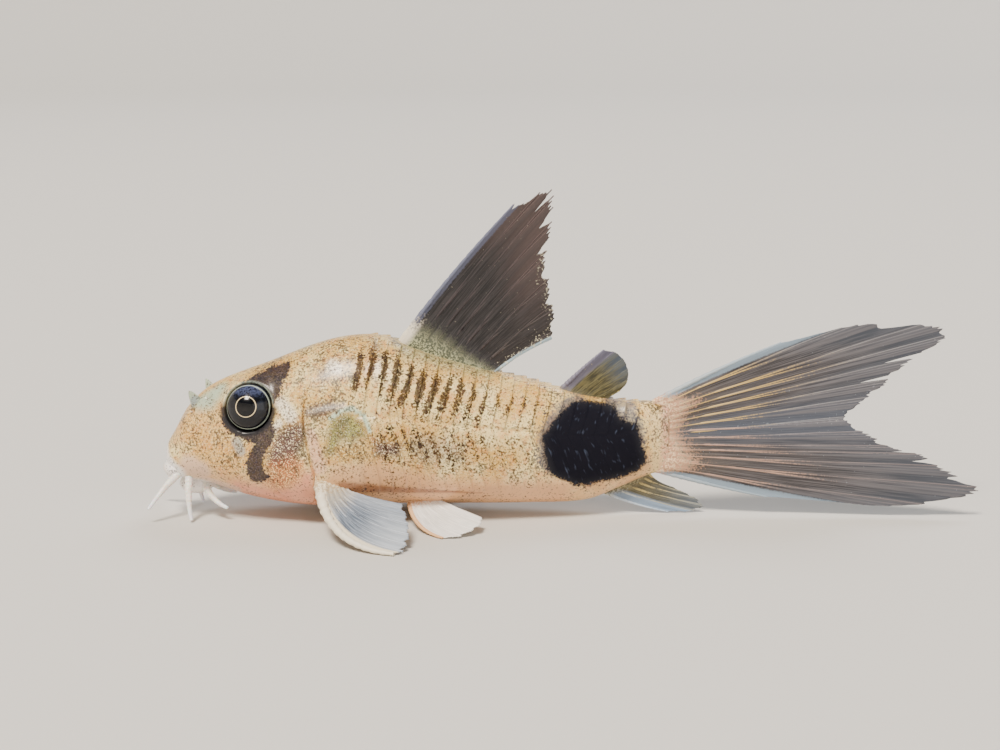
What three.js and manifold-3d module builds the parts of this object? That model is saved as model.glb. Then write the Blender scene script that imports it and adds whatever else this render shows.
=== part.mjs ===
// Corydoras catfish of the panda kind, life size, resting on its paired fins and its anal fin.
// Millimetres, +Z up. The snout points along -X, and the fish's own left side faces -Y.
// Places are worked out from the snout tip (x = 0) and the floor (z = 0), and the whole fish is
// then moved so that the origin is the middle of its outline box, on the floor.
import * as THREE from "three";
import { mergeVertices } from "three/addons/utils/BufferGeometryUtils.js";
import Module from "manifold-3d";

const wasm = await Module();
wasm.setup();

const { lerp, smoothstep, clamp } = THREE.MathUtils;
const point = (x, y, z) => new THREE.Vector3(x, y, z);

// Driving dimensions
const gap = 0.3; // clear space between pieces that touch in life
const bodyEnd = 41.2; // x of the end of the fleshy tail stem
const trunkStart = 12.9; // x of the trunk's front edge at the back
const trunkEnd = 31.4; // x where the trunk is parted from the tail stem, at the back
const shoulderLength = 3.6; // bony shoulder plate behind the gill opening
const scuteRise = 0.22; // height of a scute's rear edge over the next scute
const scuteStep = 0.08; // length of the steep face behind a scute's rear edge
const trunkScutes = 15; // scutes of each row on the trunk
const stemScutes = 8; // scutes of each row on the tail stem
const membraneThick = 0.5; // fin skin between the rays
const tipThick = 0.28; // fin edge
const eyeRadius = 1.85;
const eyeDepth = 1.25; // half thickness of the eye along its own axis

// Body lines, as knots of x and size, from the snout to the end of the tail stem
const backLine = bodyLine([
  [0, 5.5], [0.65, 7.0], [1.95, 9.2], [3.8, 10.85], [8.6, 12.8], [12.7, 14.35], [15.5, 14.95],
  [18.2, 14.85], [20.9, 13.8], [25.8, 12.3], [30.5, 11.1], [34.5, 9.95], [38.2, 9.5], [bodyEnd, 9.5],
]);
const bellyLine = bodyLine([
  [0, 4.5], [0.4, 3.7], [1.6, 3.05], [3.8, 2.7], [7.4, 1.65], [12.2, 1.05], [20, 1.2], [30, 1.1],
  [34.5, 1.25], [37.2, 2.25], [39.7, 3.3], [bodyEnd, 3.6],
]);
const flankLine = bodyLine([
  [0, 0.5], [0.65, 1.7], [1.95, 2.6], [5.3, 3.75], [9.3, 4.75], [14, 5.3], [19, 5.05], [27, 4.0],
  [34.8, 2.45], [39.5, 1.35], [bodyEnd, 0.6],
]);
// Share of the height at which the body is widest, and how square its section is above and below
const widestLine = bodyLine([[0, 0.45], [4, 0.36], [12, 0.4], [20, 0.42], [34, 0.5], [bodyEnd, 0.52]]);
const upperSquareness = bodyLine([[0, 2.1], [6, 2.0], [24, 2.0], [bodyEnd, 2.1]]);
const lowerSquareness = bodyLine([[0, 2.1], [6, 2.3], [14, 2.7], [30, 2.6], [bodyEnd, 2.1]]);

// Angles round the body, as shares of the half turn from the back (0) to the belly (1)
const lateralLine = 0.4;
const upperScuteEdge = 0.06;
const lowerScuteEdge = 0.72;
const seamHalf = 0.014;
const girth = [
  0, 0.06, 0.13, 0.2, 0.27, 0.335, lateralLine - seamHalf, lateralLine, lateralLine + seamHalf,
  0.47, 0.54, 0.61, 0.67, lowerScuteEdge, 0.79, 0.86, 0.93, 1,
];
const turns = [...girth.slice(0, -1), ...girth.slice(1).reverse().map((share) => -share)];

// Points inside the body, from which the flat ends of the pieces fan out
const noseTip = point(-0.12, 0, 5.0);
const neckMiddle = 7.5; // z
const stemMiddle = 6.5; // z

// A smooth value at v from a list of [v, value] knots: a cubic through the knots
function curveAt(knots, v) {
  let i = 0;
  while (i < knots.length - 2 && v > knots[i + 1][0]) i += 1;
  const at = (k) => knots[clamp(k, 0, knots.length - 1)];
  const slope = (k) => (at(k + 1)[1] - at(k - 1)[1]) / (at(k + 1)[0] - at(k - 1)[0]);
  const [from, to] = [at(i), at(i + 1)];
  const span = to[0] - from[0];
  const t = clamp((v - from[0]) / span, 0, 1);
  const fromShare = 2 * t ** 3 - 3 * t ** 2 + 1;
  const bendOut = t ** 3 - 2 * t ** 2 + t;
  const bendIn = t ** 3 - t ** 2;
  const straight = fromShare * from[1] + (1 - fromShare) * to[1];
  return straight + span * (bendOut * slope(i) + bendIn * slope(i + 1));
}

// Body lines run in the root of x, which keeps the blunt snout round
function bodyLine(knots) {
  return knots.map(([x, value]) => [Math.sqrt(x), value]);
}

function lineAt(line, x) {
  return curveAt(line, Math.sqrt(Math.max(x, 0)));
}

// A point of the smooth body: x along it, turn from -1 to 1 round it (0 the back, negative the left)
function skinPoint(x, turn) {
  const top = lineAt(backLine, x);
  const bottom = lineAt(bellyLine, x);
  const middle = lerp(bottom, top, lineAt(widestLine, x));
  const angle = Math.abs(turn) * Math.PI;
  const upper = angle < Math.PI / 2;
  const power = 2 / lineAt(upper ? upperSquareness : lowerSquareness, x);
  const out = Math.abs(Math.sin(angle)) ** power * lineAt(flankLine, x);
  const rise = Math.abs(Math.cos(angle)) ** power * (upper ? top - middle : bottom - middle);
  return point(x, Math.sign(turn) * out, middle + rise);
}

function skinNormal(x, turn) {
  const step = 0.02;
  const ahead = skinPoint(Math.max(x - step, 0), turn);
  const alongBody = skinPoint(x + step, turn).sub(ahead);
  const roundBody = skinPoint(x, turn + step).sub(skinPoint(x, turn - step));
  return alongBody.cross(roundBody).normalize();
}

function raisedPoint(x, turn, rise) {
  return skinPoint(x, turn).addScaledVector(skinNormal(x, turn), rise);
}

// The skin at x and a height z, on the side given by its sign (-1 left, 1 right)
function skinAtHeight(x, z, side) {
  let [high, low] = [0, 1];
  for (let i = 0; i < 30; i += 1) {
    const half = (high + low) / 2;
    if (skinPoint(x, half).z > z) high = half;
    else low = half;
  }
  return { place: skinPoint(x, side * high), normal: skinNormal(x, side * high) };
}

// A closed body from a geometry: shared corners are merged, and it is turned right side out
function solidOf(geometry) {
  const bare = geometry.clone();
  bare.deleteAttribute("normal");
  bare.deleteAttribute("uv");
  const merged = mergeVertices(bare, 1e-4);
  const kept = [];
  for (let i = 0; i < merged.index.count; i += 3) {
    const [a, b, c] = [0, 1, 2].map((k) => merged.index.getX(i + k));
    if (a !== b && b !== c && c !== a) kept.push(a, b, c);
  }
  const vertProperties = new Float32Array(merged.attributes.position.array);
  const make = (triangles) =>
    new wasm.Manifold(
      new wasm.Mesh({ numProp: 3, vertProperties, triVerts: new Uint32Array(triangles) }),
    );
  const solid = make(kept);
  return solid.volume() > 0 ? solid : make(kept.reverse());
}

function geometryOf(solid) {
  const mesh = solid.getMesh();
  return new THREE.BufferGeometry()
    .setAttribute("position", new THREE.BufferAttribute(mesh.vertProperties, 3))
    .setIndex(new THREE.BufferAttribute(mesh.triVerts, 1));
}

function largestPiece(solid) {
  return solid.decompose().reduce((best, piece) => (piece.volume() > best.volume() ? piece : best));
}

function indexed(points, triangles) {
  return new THREE.BufferGeometry().setFromPoints(points).setIndex(triangles);
}

// A length of body from its rings, each end closed by a fan to a point in its middle
function loft(rings, frontPoint, rearPoint) {
  const around = rings[0].length;
  const points = [...rings.flat(), frontPoint, rearPoint];
  const front = points.length - 2;
  const rear = points.length - 1;
  const last = (rings.length - 1) * around;
  const triangles = [];
  for (let k = 0; k < around; k += 1) {
    const next = (k + 1) % around;
    for (let r = 0; r < rings.length - 1; r += 1) {
      const [here, there] = [r * around, (r + 1) * around];
      triangles.push(here + k, there + k, there + next, here + k, there + next, here + next);
    }
    triangles.push(front, k, next, rear, last + next, last + k);
  }
  return indexed(points, triangles);
}

// Where the gill opening crosses each angle. The knots run on past the back and the belly,
// mirrored, so that the line crosses both without a corner.
const gillLine = [
  [-0.18, 12.1], [0, 12.6], [0.18, 12.1], [0.4, 11.6], [0.6, 12.5], [0.76, 12.4], [1, 10.6], [1.24, 12.4],
];

function gillX(turn) {
  return curveAt(gillLine, Math.abs(turn));
}

// How far each row of scutes is swept along the body at an angle: forward to the lateral line
// on the upper row, and back again on the lower one
function sweep(turn) {
  const share = Math.abs(turn);
  const [upperSweep, lowerSweep] = [1.0, 2.0];
  if (share < lateralLine) return (-upperSweep * share) / lateralLine;
  const down = Math.min((share - lateralLine) / (lowerScuteEdge - lateralLine), 1);
  return lowerSweep * down - upperSweep;
}

// Whether a scute is raised at an angle: not on the seams, the back or the belly
function isScute(turn) {
  const share = Math.abs(turn);
  const inUpper = share > upperScuteEdge && share < lateralLine - seamHalf / 2;
  const inLower = share > lateralLine + seamHalf / 2 && share < lowerScuteEdge;
  return inUpper || inLower;
}

// Rounded rear edges: the middle of each scute reaches further back than its ends
function roundedEdge(turn) {
  const reach = 0.22;
  const share = Math.abs(turn);
  if (share < upperScuteEdge || share > lowerScuteEdge) return 0;
  const high = share < lateralLine ? upperScuteEdge : lateralLine;
  const low = share < lateralLine ? lateralLine : lowerScuteEdge;
  return reach * Math.sin((Math.PI * (share - high)) / (low - high));
}

// A row of scutes as columns: each starts level with the skin and ends at its raised rear edge
function scuteColumns(start, end, count) {
  const width = (end - start) / count;
  return Array.from({ length: count }, (_, k) => {
    const unevenness = 1 + 0.12 * Math.sin(2.3 * k);
    const from = start + k * width;
    return [{ x: from, rise: 0 }, { x: from + width - scuteStep, rise: scuteRise * unevenness }];
  }).flat();
}

// The head's skin, with the gill cover standing proud towards its rear edge
function headSurface() {
  const rings = 17;
  const noseCrowding = 1.7;
  const coverRise = 0.22;
  const made = Array.from({ length: rings }, (_, r) => {
    const share = (r / (rings - 1)) ** noseCrowding;
    return turns.map((turn) => {
      const down = Math.abs(turn);
      const onCover = smoothstep(down, 0.3, 0.42) - smoothstep(down, 0.72, 0.85);
      return raisedPoint(gillX(turn) * share, turn, coverRise * onCover * smoothstep(share, 0.8, 0.97));
    });
  });
  return loft(made, noseTip, point(gillX(lateralLine), 0, neckMiddle));
}

// The trunk: the smooth shoulder plate on each side, then two rows of scutes to its rear end
function trunkSurface() {
  const plateRise = 0.24;
  const onPlate = (turn) => Math.abs(turn) > 0.3 && Math.abs(turn) < 0.7;
  const shoulderEnd = trunkStart + shoulderLength;
  const columns = [
    { x: trunkStart, rise: 0, onShoulder: true },
    { x: trunkStart + 1, rise: 0, onShoulder: true },
    { x: trunkStart + 2, rise: 0, onShoulder: true },
    { x: shoulderEnd - scuteStep, rise: scuteRise, onShoulder: true },
    ...scuteColumns(shoulderEnd, trunkEnd, trunkScutes),
  ];
  const rings = columns.map((column) =>
    turns.map((turn) => {
      const share = (column.x - trunkStart) / (trunkEnd - trunkStart);
      const front = gillX(turn) + gap;
      const bulge = column.x > trunkStart + 1 ? roundedEdge(turn) : 0;
      const x = lerp(front, trunkEnd + sweep(turn), share) + bulge;
      if (column.onShoulder && onPlate(turn)) return raisedPoint(x, turn, plateRise);
      return raisedPoint(x, turn, isScute(turn) ? column.rise : 0);
    }),
  );
  const frontPoint = point(gillX(lateralLine) + gap, 0, neckMiddle);
  return loft(rings, frontPoint, point(trunkEnd, 0, stemMiddle));
}

// The tail stem: the scutes go on to its rounded end, and their sweep dies out towards it
function stemSurface() {
  const start = trunkEnd + gap;
  const scutesEnd = 39.9;
  const columns = [
    ...scuteColumns(start, scutesEnd, stemScutes),
    { x: scutesEnd, rise: 0 },
    { x: (scutesEnd + bodyEnd) / 2, rise: 0 },
    { x: bodyEnd, rise: 0 },
  ];
  const rings = columns.map((column) =>
    turns.map((turn) => {
      const share = (column.x - start) / (bodyEnd - start);
      const swept = (sweep(turn) + roundedEdge(turn)) * (1 - share ** 3);
      return raisedPoint(column.x + swept, turn, isScute(turn) ? column.rise : 0);
    }),
  );
  return loft(rings, point(start, 0, stemMiddle), point(bodyEnd + 0.15, 0, stemMiddle));
}

// The whole smooth body, swollen by the gap: what every fin and feeler is cut back from
function clearanceBody() {
  const rings = 60;
  const made = Array.from({ length: rings + 1 }, (_, r) => {
    const x = bodyEnd * (r / rings) ** 1.3;
    return turns.map((turn) => raisedPoint(x, turn, gap));
  });
  const front = noseTip.clone().add(point(-gap, 0, 0));
  return solidOf(loft(made, front, point(bodyEnd + 0.15 + gap, 0, stemMiddle)));
}

const clearance = clearanceBody();
const floorDepth = 4;
const floorBlock = solidOf(new THREE.BoxGeometry(140, 60, floorDepth).translate(20, 0, -floorDepth / 2));

// A fin: its skin between the rays, with every ray raised as a ridge on both faces, from curves
// that run root to tip. Both faces are split into triangles alike, and the skin between two rays
// stops short of them by the share "notch".
function finSolid({ rays, rows, rootThick, ridge, notch }) {
  const columns = rays.flatMap((ray, i) => {
    const onRay = { at: (t) => ray.getPoint(t), rise: ridge };
    if (i === rays.length - 1) return [onRay];
    const short = (t) => t * (1 - notch);
    const between = (t) => ray.getPoint(short(t)).lerp(rays[i + 1].getPoint(short(t)), 0.5);
    return [onRay, { at: between, rise: 0 }];
  });
  const wide = columns.length;
  const long = rows + 1;
  const grid = columns.map((column) => Array.from({ length: long }, (_, r) => column.at(r / rows)));
  const normalAt = (c, r) => {
    const across = grid[Math.min(c + 1, wide - 1)][r].clone().sub(grid[Math.max(c - 1, 0)][r]);
    const along = grid[c][Math.min(r + 1, rows)].clone().sub(grid[c][Math.max(r - 1, 0)]);
    return across.cross(along).normalize();
  };
  const halfThick = (c, r) => {
    const t = r / rows;
    const fleshy = (rootThick - membraneThick) * (1 - smoothstep(t, 0.05, 0.3));
    const thinning = (membraneThick - tipThick) * smoothstep(t, 0.7, 1);
    return (membraneThick + fleshy - thinning + columns[c].rise * (1 - 0.75 * t)) / 2;
  };
  const faceAt = (c, r, side) => grid[c][r].clone().addScaledVector(normalAt(c, r), side * halfThick(c, r));
  const near = grid.flatMap((line, c) => line.map((_, r) => faceAt(c, r, 1)));
  const far = grid.flatMap((line, c) => line.map((_, r) => faceAt(c, r, -1)));
  const nearAt = (c, r) => c * long + r;
  const farAt = (c, r) => near.length + nearAt(c, r);
  const triangles = [];
  const quad = (a, b, c, d) => triangles.push(a, b, c, a, c, d);
  for (let c = 0; c < wide - 1; c += 1) {
    for (let r = 0; r < rows; r += 1) {
      quad(nearAt(c, r), nearAt(c + 1, r), nearAt(c + 1, r + 1), nearAt(c, r + 1));
      triangles.push(farAt(c, r), farAt(c + 1, r + 1), farAt(c + 1, r));
      triangles.push(farAt(c, r), farAt(c, r + 1), farAt(c + 1, r + 1));
    }
    quad(nearAt(c, 0), farAt(c, 0), farAt(c + 1, 0), nearAt(c + 1, 0));
    quad(nearAt(c, rows), nearAt(c + 1, rows), farAt(c + 1, rows), farAt(c, rows));
  }
  for (let r = 0; r < rows; r += 1) {
    quad(nearAt(0, r), nearAt(0, r + 1), farAt(0, r + 1), farAt(0, r));
    quad(nearAt(wide - 1, r), farAt(wide - 1, r), farAt(wide - 1, r + 1), nearAt(wide - 1, r + 1));
  }
  const whole = solidOf(indexed([...near, ...far], triangles));
  return largestPiece(whole.subtract(clearance).subtract(floorBlock));
}

// A ray from root to tip whose middle is pushed aside by "bow"
function rayCurve(root, tip, bow) {
  const middle = root.clone().lerp(tip, 0.5).add(bow);
  return new THREE.QuadraticBezierCurve3(root, middle, tip);
}

// Rays of a fin in the middle plane, from roots sunk below the back or belly. The tips are given
// as x and z, and "lean" bends them to one side, so that the fin isn't a flat sheet.
function medianRays({ rootFrom, rootTo, edge, sink, tips, bow, lean }) {
  return tips.map(([x, z], i) => {
    const share = i / (tips.length - 1);
    const rootX = lerp(rootFrom, rootTo, share);
    const root = point(rootX, 0, lineAt(edge, rootX) + sink);
    return rayCurve(root, point(x, lean * (share - 0.3), z), point(bow[0], 0, bow[1]));
  });
}

const dorsalFin = finSolid({
  rows: 8,
  rootThick: 1.15,
  ridge: 0.34,
  notch: 0.035,
  rays: medianRays({
    rootFrom: 18.9,
    rootTo: 26.4,
    edge: backLine,
    sink: -0.7,
    bow: [-0.35, 0.35],
    lean: 0.5,
    tips: [
      [28.6, 25.7], [31.3, 26.9], [31.7, 25.9], [31.6, 23.7], [31.2, 21.3], [31.5, 19.0], [31.9, 16.9],
      [31.7, 14.6],
    ],
  }),
});

const adiposeFin = finSolid({
  rows: 5,
  rootThick: 0.8,
  ridge: 0.16,
  notch: 0,
  rays: medianRays({
    rootFrom: 32.0,
    rootTo: 35.6,
    edge: backLine,
    sink: -0.6,
    bow: [-0.1, 0.1],
    lean: 0.2,
    tips: [[35.9, 13.75], [36.9, 13.5], [37.6, 12.8], [37.9, 11.9], [37.8, 11.0], [37.2, 10.25]],
  }),
});

const analFin = finSolid({
  rows: 6,
  rootThick: 0.8,
  ridge: 0.26,
  notch: 0.03,
  rays: medianRays({
    rootFrom: 35.4,
    rootTo: 39.4,
    edge: bellyLine,
    sink: 0.6,
    bow: [-0.5, -0.35],
    lean: 0.6,
    tips: [[41.4, -0.2], [43.3, -0.15], [44.3, 0.5], [43.8, 1.1], [42.8, 1.6], [41.6, 2.1]],
  }),
});

// A lobe of the tail fin: its rays fan out of the rounded end of the tail stem
function tailLobe({ rootFrom, rootTo, tips, lean, bow }) {
  const rootX = bodyEnd - 0.6;
  const rays = tips.map(([x, z], i) => {
    const share = i / (tips.length - 1);
    const root = point(rootX, 0, lerp(rootFrom, rootTo, share));
    const reach = (x - rootX) / 20;
    return rayCurve(root, point(x, lean * reach, z), point(0, -0.1 * lean, bow * (1 - share)));
  });
  return finSolid({ rays, rows: 9, rootThick: 0.95, ridge: 0.3, notch: 0.05 });
}

const tailUpper = tailLobe({
  rootFrom: 9.7,
  rootTo: 6.95,
  lean: 0.7,
  bow: 0.5,
  tips: [
    [50.5, 14.3], [57.2, 15.8], [63.3, 15.6], [63.9, 14.5], [60.8, 12.5], [59.2, 10.9], [57.3, 9.4],
    [55.6, 8.05],
  ],
});

const tailLower = tailLobe({
  rootFrom: 3.5,
  rootTo: 6.55,
  lean: -1.2,
  bow: -0.3,
  tips: [
    [49.5, 1.5], [60.2, 0.85], [66.8, 2.1], [64.3, 3.9], [62.4, 5.1], [60.2, 5.6], [58.0, 6.7],
    [56.2, 7.55],
  ],
});

// A paired fin, which leans on the floor. side is -1 for the left fin and 1 for the right one,
// and its places are those of the right fin.
function pairedFin({ side, roots, tips, bows, rows, rootThick, ridge, notch }) {
  const onSide = ([x, y, z]) => point(x, side * y, z);
  const rays = tips.map((tip, i) => {
    const share = i / (tips.length - 1);
    const root = onSide(roots[0]).lerp(onSide(roots[1]), share);
    return rayCurve(root, onSide(tip), onSide(bows[0]).lerp(onSide(bows[1]), share));
  });
  return finSolid({ rays, rows, rootThick, ridge, notch });
}

function pectoralFin(side) {
  return pairedFin({
    side,
    rows: 7,
    rootThick: 1.0,
    ridge: 0.3,
    notch: 0.04,
    roots: [[12.9, 4.3, 4.2], [14.4, 4.4, 3.2]],
    bows: [[-2.7, 2.75, -1.95], [0, 0.3, -0.1]],
    tips: [
      [19.4, 12.7, 0.08], [20.0, 12.3, 0.2], [20.3, 11.6, 0.5], [20.5, 10.6, 0.95], [20.4, 9.5, 1.5],
      [20.1, 8.4, 2.1], [19.7, 7.4, 2.7],
    ],
  });
}

function pelvicFin(side) {
  return pairedFin({
    side,
    rows: 6,
    rootThick: 0.9,
    ridge: 0.26,
    notch: 0.04,
    roots: [[20.0, 2.7, 1.7], [21.9, 2.2, 1.8]],
    bows: [[-1.1, 0.6, -0.8], [0.1, 0.2, 0]],
    tips: [[22.9, 8.1, 0.08], [24.1, 8.0, 0.15], [25.1, 7.4, 0.45], [25.9, 6.6, 0.8], [26.0, 5.5, 1.05]],
  });
}

// A feeler beside the mouth: a tube that tapers along a curve, rooted in the lips
function feeler({ side, root, bend, tip, rootRadius, tipRadius }) {
  const [steps, sides] = [7, 7];
  const onSide = ([x, y, z]) => point(x, side * y, z);
  const curve = new THREE.QuadraticBezierCurve3(onSide(root), onSide(bend), onSide(tip));
  const frames = curve.computeFrenetFrames(steps, false);
  const rings = frames.normals.map((normal, i) => {
    const centre = curve.getPointAt(i / steps);
    const radius = lerp(rootRadius, tipRadius, (i / steps) ** 1.2);
    return Array.from({ length: sides }, (_, k) => {
      const angle = (2 * Math.PI * k) / sides;
      const onRing = centre.clone().addScaledVector(normal, radius * Math.cos(angle));
      return onRing.addScaledVector(frames.binormals[i], radius * Math.sin(angle));
    });
  });
  return solidOf(loft(rings, curve.getPointAt(0), curve.getPointAt(1)));
}

const feelers = {
  barbel_front: { root: [1.1, 1.3, 3.7], bend: [0, 2.3, 2.8], tip: [-1.1, 3.4, 1.2] },
  barbel_lower: { root: [2.0, 1.7, 3.5], bend: [1.9, 2.6, 1.9], tip: [2.3, 3.1, 0.2] },
  barbel_chin: { root: [3.0, 0.75, 2.9], bend: [3.7, 1.9, 1.5], tip: [5.2, 2.6, 1.1] },
};

// A ball squashed to the half sizes given, swollen evenly by "swell"
function ball(centre, halves, swell) {
  const form = new THREE.SphereGeometry(1, 16, 10).scale(...halves.map((half) => half + swell));
  return solidOf(form.translate(...centre));
}

// The eye's place on the head, and which way it looks
function eyeSeat(side) {
  const [x, z] = [7.3, 9.7];
  const { place, normal } = skinAtHeight(x, z, side);
  const facing = new THREE.Quaternion().setFromUnitVectors(point(0, 0, 1), normal);
  return { place, normal, facing };
}

function eyeball(side, swell) {
  const sunk = 0.42;
  const { place, normal, facing } = eyeSeat(side);
  const centre = place.addScaledVector(normal, -sunk);
  const round = new THREE.SphereGeometry(1, 20, 12);
  round.scale(eyeRadius + swell, eyeRadius + swell, eyeDepth + swell);
  return solidOf(round.applyQuaternion(facing).translate(centre.x, centre.y, centre.z));
}

// The raised rim of skin round the eye
function eyeRim(side) {
  const [ringRadius, tubeRadius, sunk] = [eyeRadius + 0.26, 0.34, 0.12];
  const { place, normal, facing } = eyeSeat(side);
  const centre = place.addScaledVector(normal, -sunk);
  const ring = new THREE.TorusGeometry(ringRadius, tubeRadius, 6, 20).applyQuaternion(facing);
  return solidOf(ring.translate(centre.x, centre.y, centre.z));
}

// The pointed flap of skin that stands between the two openings of a nostril
function nostrilFlap(side) {
  const [x, z, width, height, sunk] = [2.9, 9.75, 0.42, 1.5, 0.45];
  const { place, normal } = skinAtHeight(x, z, side);
  const up = normal.add(point(-0.25, 0, 0.9)).normalize();
  const form = new THREE.ConeGeometry(width, height, 6).translate(0, height / 2 - sunk, 0);
  form.applyQuaternion(new THREE.Quaternion().setFromUnitVectors(point(0, 1, 0), up));
  return solidOf(form.translate(place.x, place.y, place.z));
}

function nostrilPit(side, x, z) {
  const [mouthRadius, floorRadius, depth] = [0.26, 0.2, 1.0];
  const { place, normal } = skinAtHeight(x, z, side);
  const form = new THREE.CylinderGeometry(mouthRadius, floorRadius, depth, 8);
  form.applyQuaternion(new THREE.Quaternion().setFromUnitVectors(point(0, 1, 0), normal));
  return solidOf(form.translate(place.x, place.y, place.z));
}

function lips(swell) {
  const upperLip = ball([0.75, 0, 3.95], [1.1, 1.75, 0.85], swell);
  const lowerLip = ball([2.35, 0, 2.6], [1.45, 1.35, 0.85], swell);
  return upperLip.add(lowerLip);
}

// The groove between the lips: a flat ring that the lips are cut by
function mouthLine() {
  const [innerRadius, outerRadius, halfHeight] = [1.05, 2.4, 0.15];
  const profile = [
    new THREE.Vector2(innerRadius, -halfHeight),
    new THREE.Vector2(outerRadius, -halfHeight),
    new THREE.Vector2(outerRadius, halfHeight),
    new THREE.Vector2(innerRadius, halfHeight),
    new THREE.Vector2(innerRadius, -halfHeight),
  ];
  const ring = new THREE.LatheGeometry(profile, 24).rotateX(Math.PI / 2).rotateY(0.12);
  return solidOf(ring.translate(2.1, 0, 3.05));
}

function buildHead() {
  let solid = solidOf(headSurface()).add(lips(0));
  for (const side of [-1, 1]) {
    solid = solid.add(eyeRim(side)).add(nostrilFlap(side));
    solid = solid.subtract(eyeball(side, gap));
    solid = solid.subtract(nostrilPit(side, 2.45, 9.3)).subtract(nostrilPit(side, 3.6, 10.0));
  }
  return largestPiece(solid.subtract(mouthLine()));
}

function buildFeeler(side, shape) {
  const tube = feeler({ side, rootRadius: 0.34, tipRadius: 0.13, ...shape });
  return largestPiece(tube.subtract(lips(gap)).subtract(clearance));
}

// Every piece with its own finish, moved so that the origin is the middle of the outline box
const colors = {
  skin: "#c6ae90",
  stemSkin: "#8f8276",
  darkFin: "#4d474b",
  clearFin: "#8c8b8c",
  paleFin: "#e6e0d6",
  eye: "#1c222c",
  feeler: "#dcd6cb",
};
const fish = new THREE.Group();

function place(name, solid, color, roughness) {
  const mesh = new THREE.Mesh(geometryOf(solid), new THREE.MeshStandardMaterial({ color, roughness }));
  mesh.name = name;
  fish.add(mesh);
}

place("head", buildHead(), colors.skin, 0.45);
place("trunk", solidOf(trunkSurface()), colors.skin, 0.45);
place("tail_stem", solidOf(stemSurface()), colors.stemSkin, 0.45);
place("dorsal_fin", dorsalFin, colors.darkFin, 0.55);
place("adipose_fin", adiposeFin, colors.darkFin, 0.55);
place("anal_fin", analFin, colors.clearFin, 0.5);
place("tail_fin_upper", tailUpper, colors.clearFin, 0.5);
place("tail_fin_lower", tailLower, colors.clearFin, 0.5);
for (const [side, label] of [[-1, "left"], [1, "right"]]) {
  place(`pectoral_fin_${label}`, pectoralFin(side), colors.paleFin, 0.5);
  place(`pelvic_fin_${label}`, pelvicFin(side), colors.paleFin, 0.5);
  place(`eye_${label}`, eyeball(side, 0), colors.eye, 0.12);
  for (const [name, shape] of Object.entries(feelers)) {
    place(`${name}_${label}`, buildFeeler(side, shape), colors.feeler, 0.4);
  }
}

const middle = new THREE.Box3().setFromObject(fish).getCenter(point(0, 0, 0));
for (const mesh of fish.children) mesh.geometry.translate(-middle.x, -middle.y, 0);

export default fish;
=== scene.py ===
import math

import bmesh
import bpy
import numpy as np
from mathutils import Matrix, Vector


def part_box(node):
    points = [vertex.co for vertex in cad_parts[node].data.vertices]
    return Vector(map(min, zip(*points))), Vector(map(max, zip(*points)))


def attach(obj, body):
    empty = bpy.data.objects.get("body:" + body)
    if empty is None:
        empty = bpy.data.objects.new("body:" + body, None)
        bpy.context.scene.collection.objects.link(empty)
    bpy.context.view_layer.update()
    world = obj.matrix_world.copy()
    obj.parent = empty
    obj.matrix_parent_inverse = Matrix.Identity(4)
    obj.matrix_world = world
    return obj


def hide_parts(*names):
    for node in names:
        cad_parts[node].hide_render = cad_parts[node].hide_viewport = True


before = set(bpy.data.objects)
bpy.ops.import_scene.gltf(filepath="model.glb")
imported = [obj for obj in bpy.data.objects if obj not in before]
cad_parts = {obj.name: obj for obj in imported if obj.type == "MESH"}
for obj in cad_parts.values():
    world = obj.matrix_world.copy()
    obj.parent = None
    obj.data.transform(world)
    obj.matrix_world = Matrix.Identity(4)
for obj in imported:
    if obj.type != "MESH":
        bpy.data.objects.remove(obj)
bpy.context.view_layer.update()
print("frame loaded")

# Sizes are in millimetres in fish places: x from the snout tip, y to the fish's right, z from the floor.
# toFrame moves them into the shared frame, which is in metres.
mm = 0.001
bodyEnd = 41.2
stemTip = 41.35
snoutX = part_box("tail_stem")[1].x - stemTip * mm
sides = ((-1, "left"), (1, "right"))


def toFrame(points):
    return np.asarray(points, float) * mm + np.array([snoutX, 0, 0])


def clamp01(v):
    return np.clip(v, 0, 1)


def smooth(v, start, end):
    t = clamp01((v - start) / (end - start))
    return t * t * (3 - 2 * t)


def bump(v, middle, half):  # 1 at the middle, 0 half a width away
    return np.exp(-(((v - middle) / (half * 0.6)) ** 2))


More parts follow.
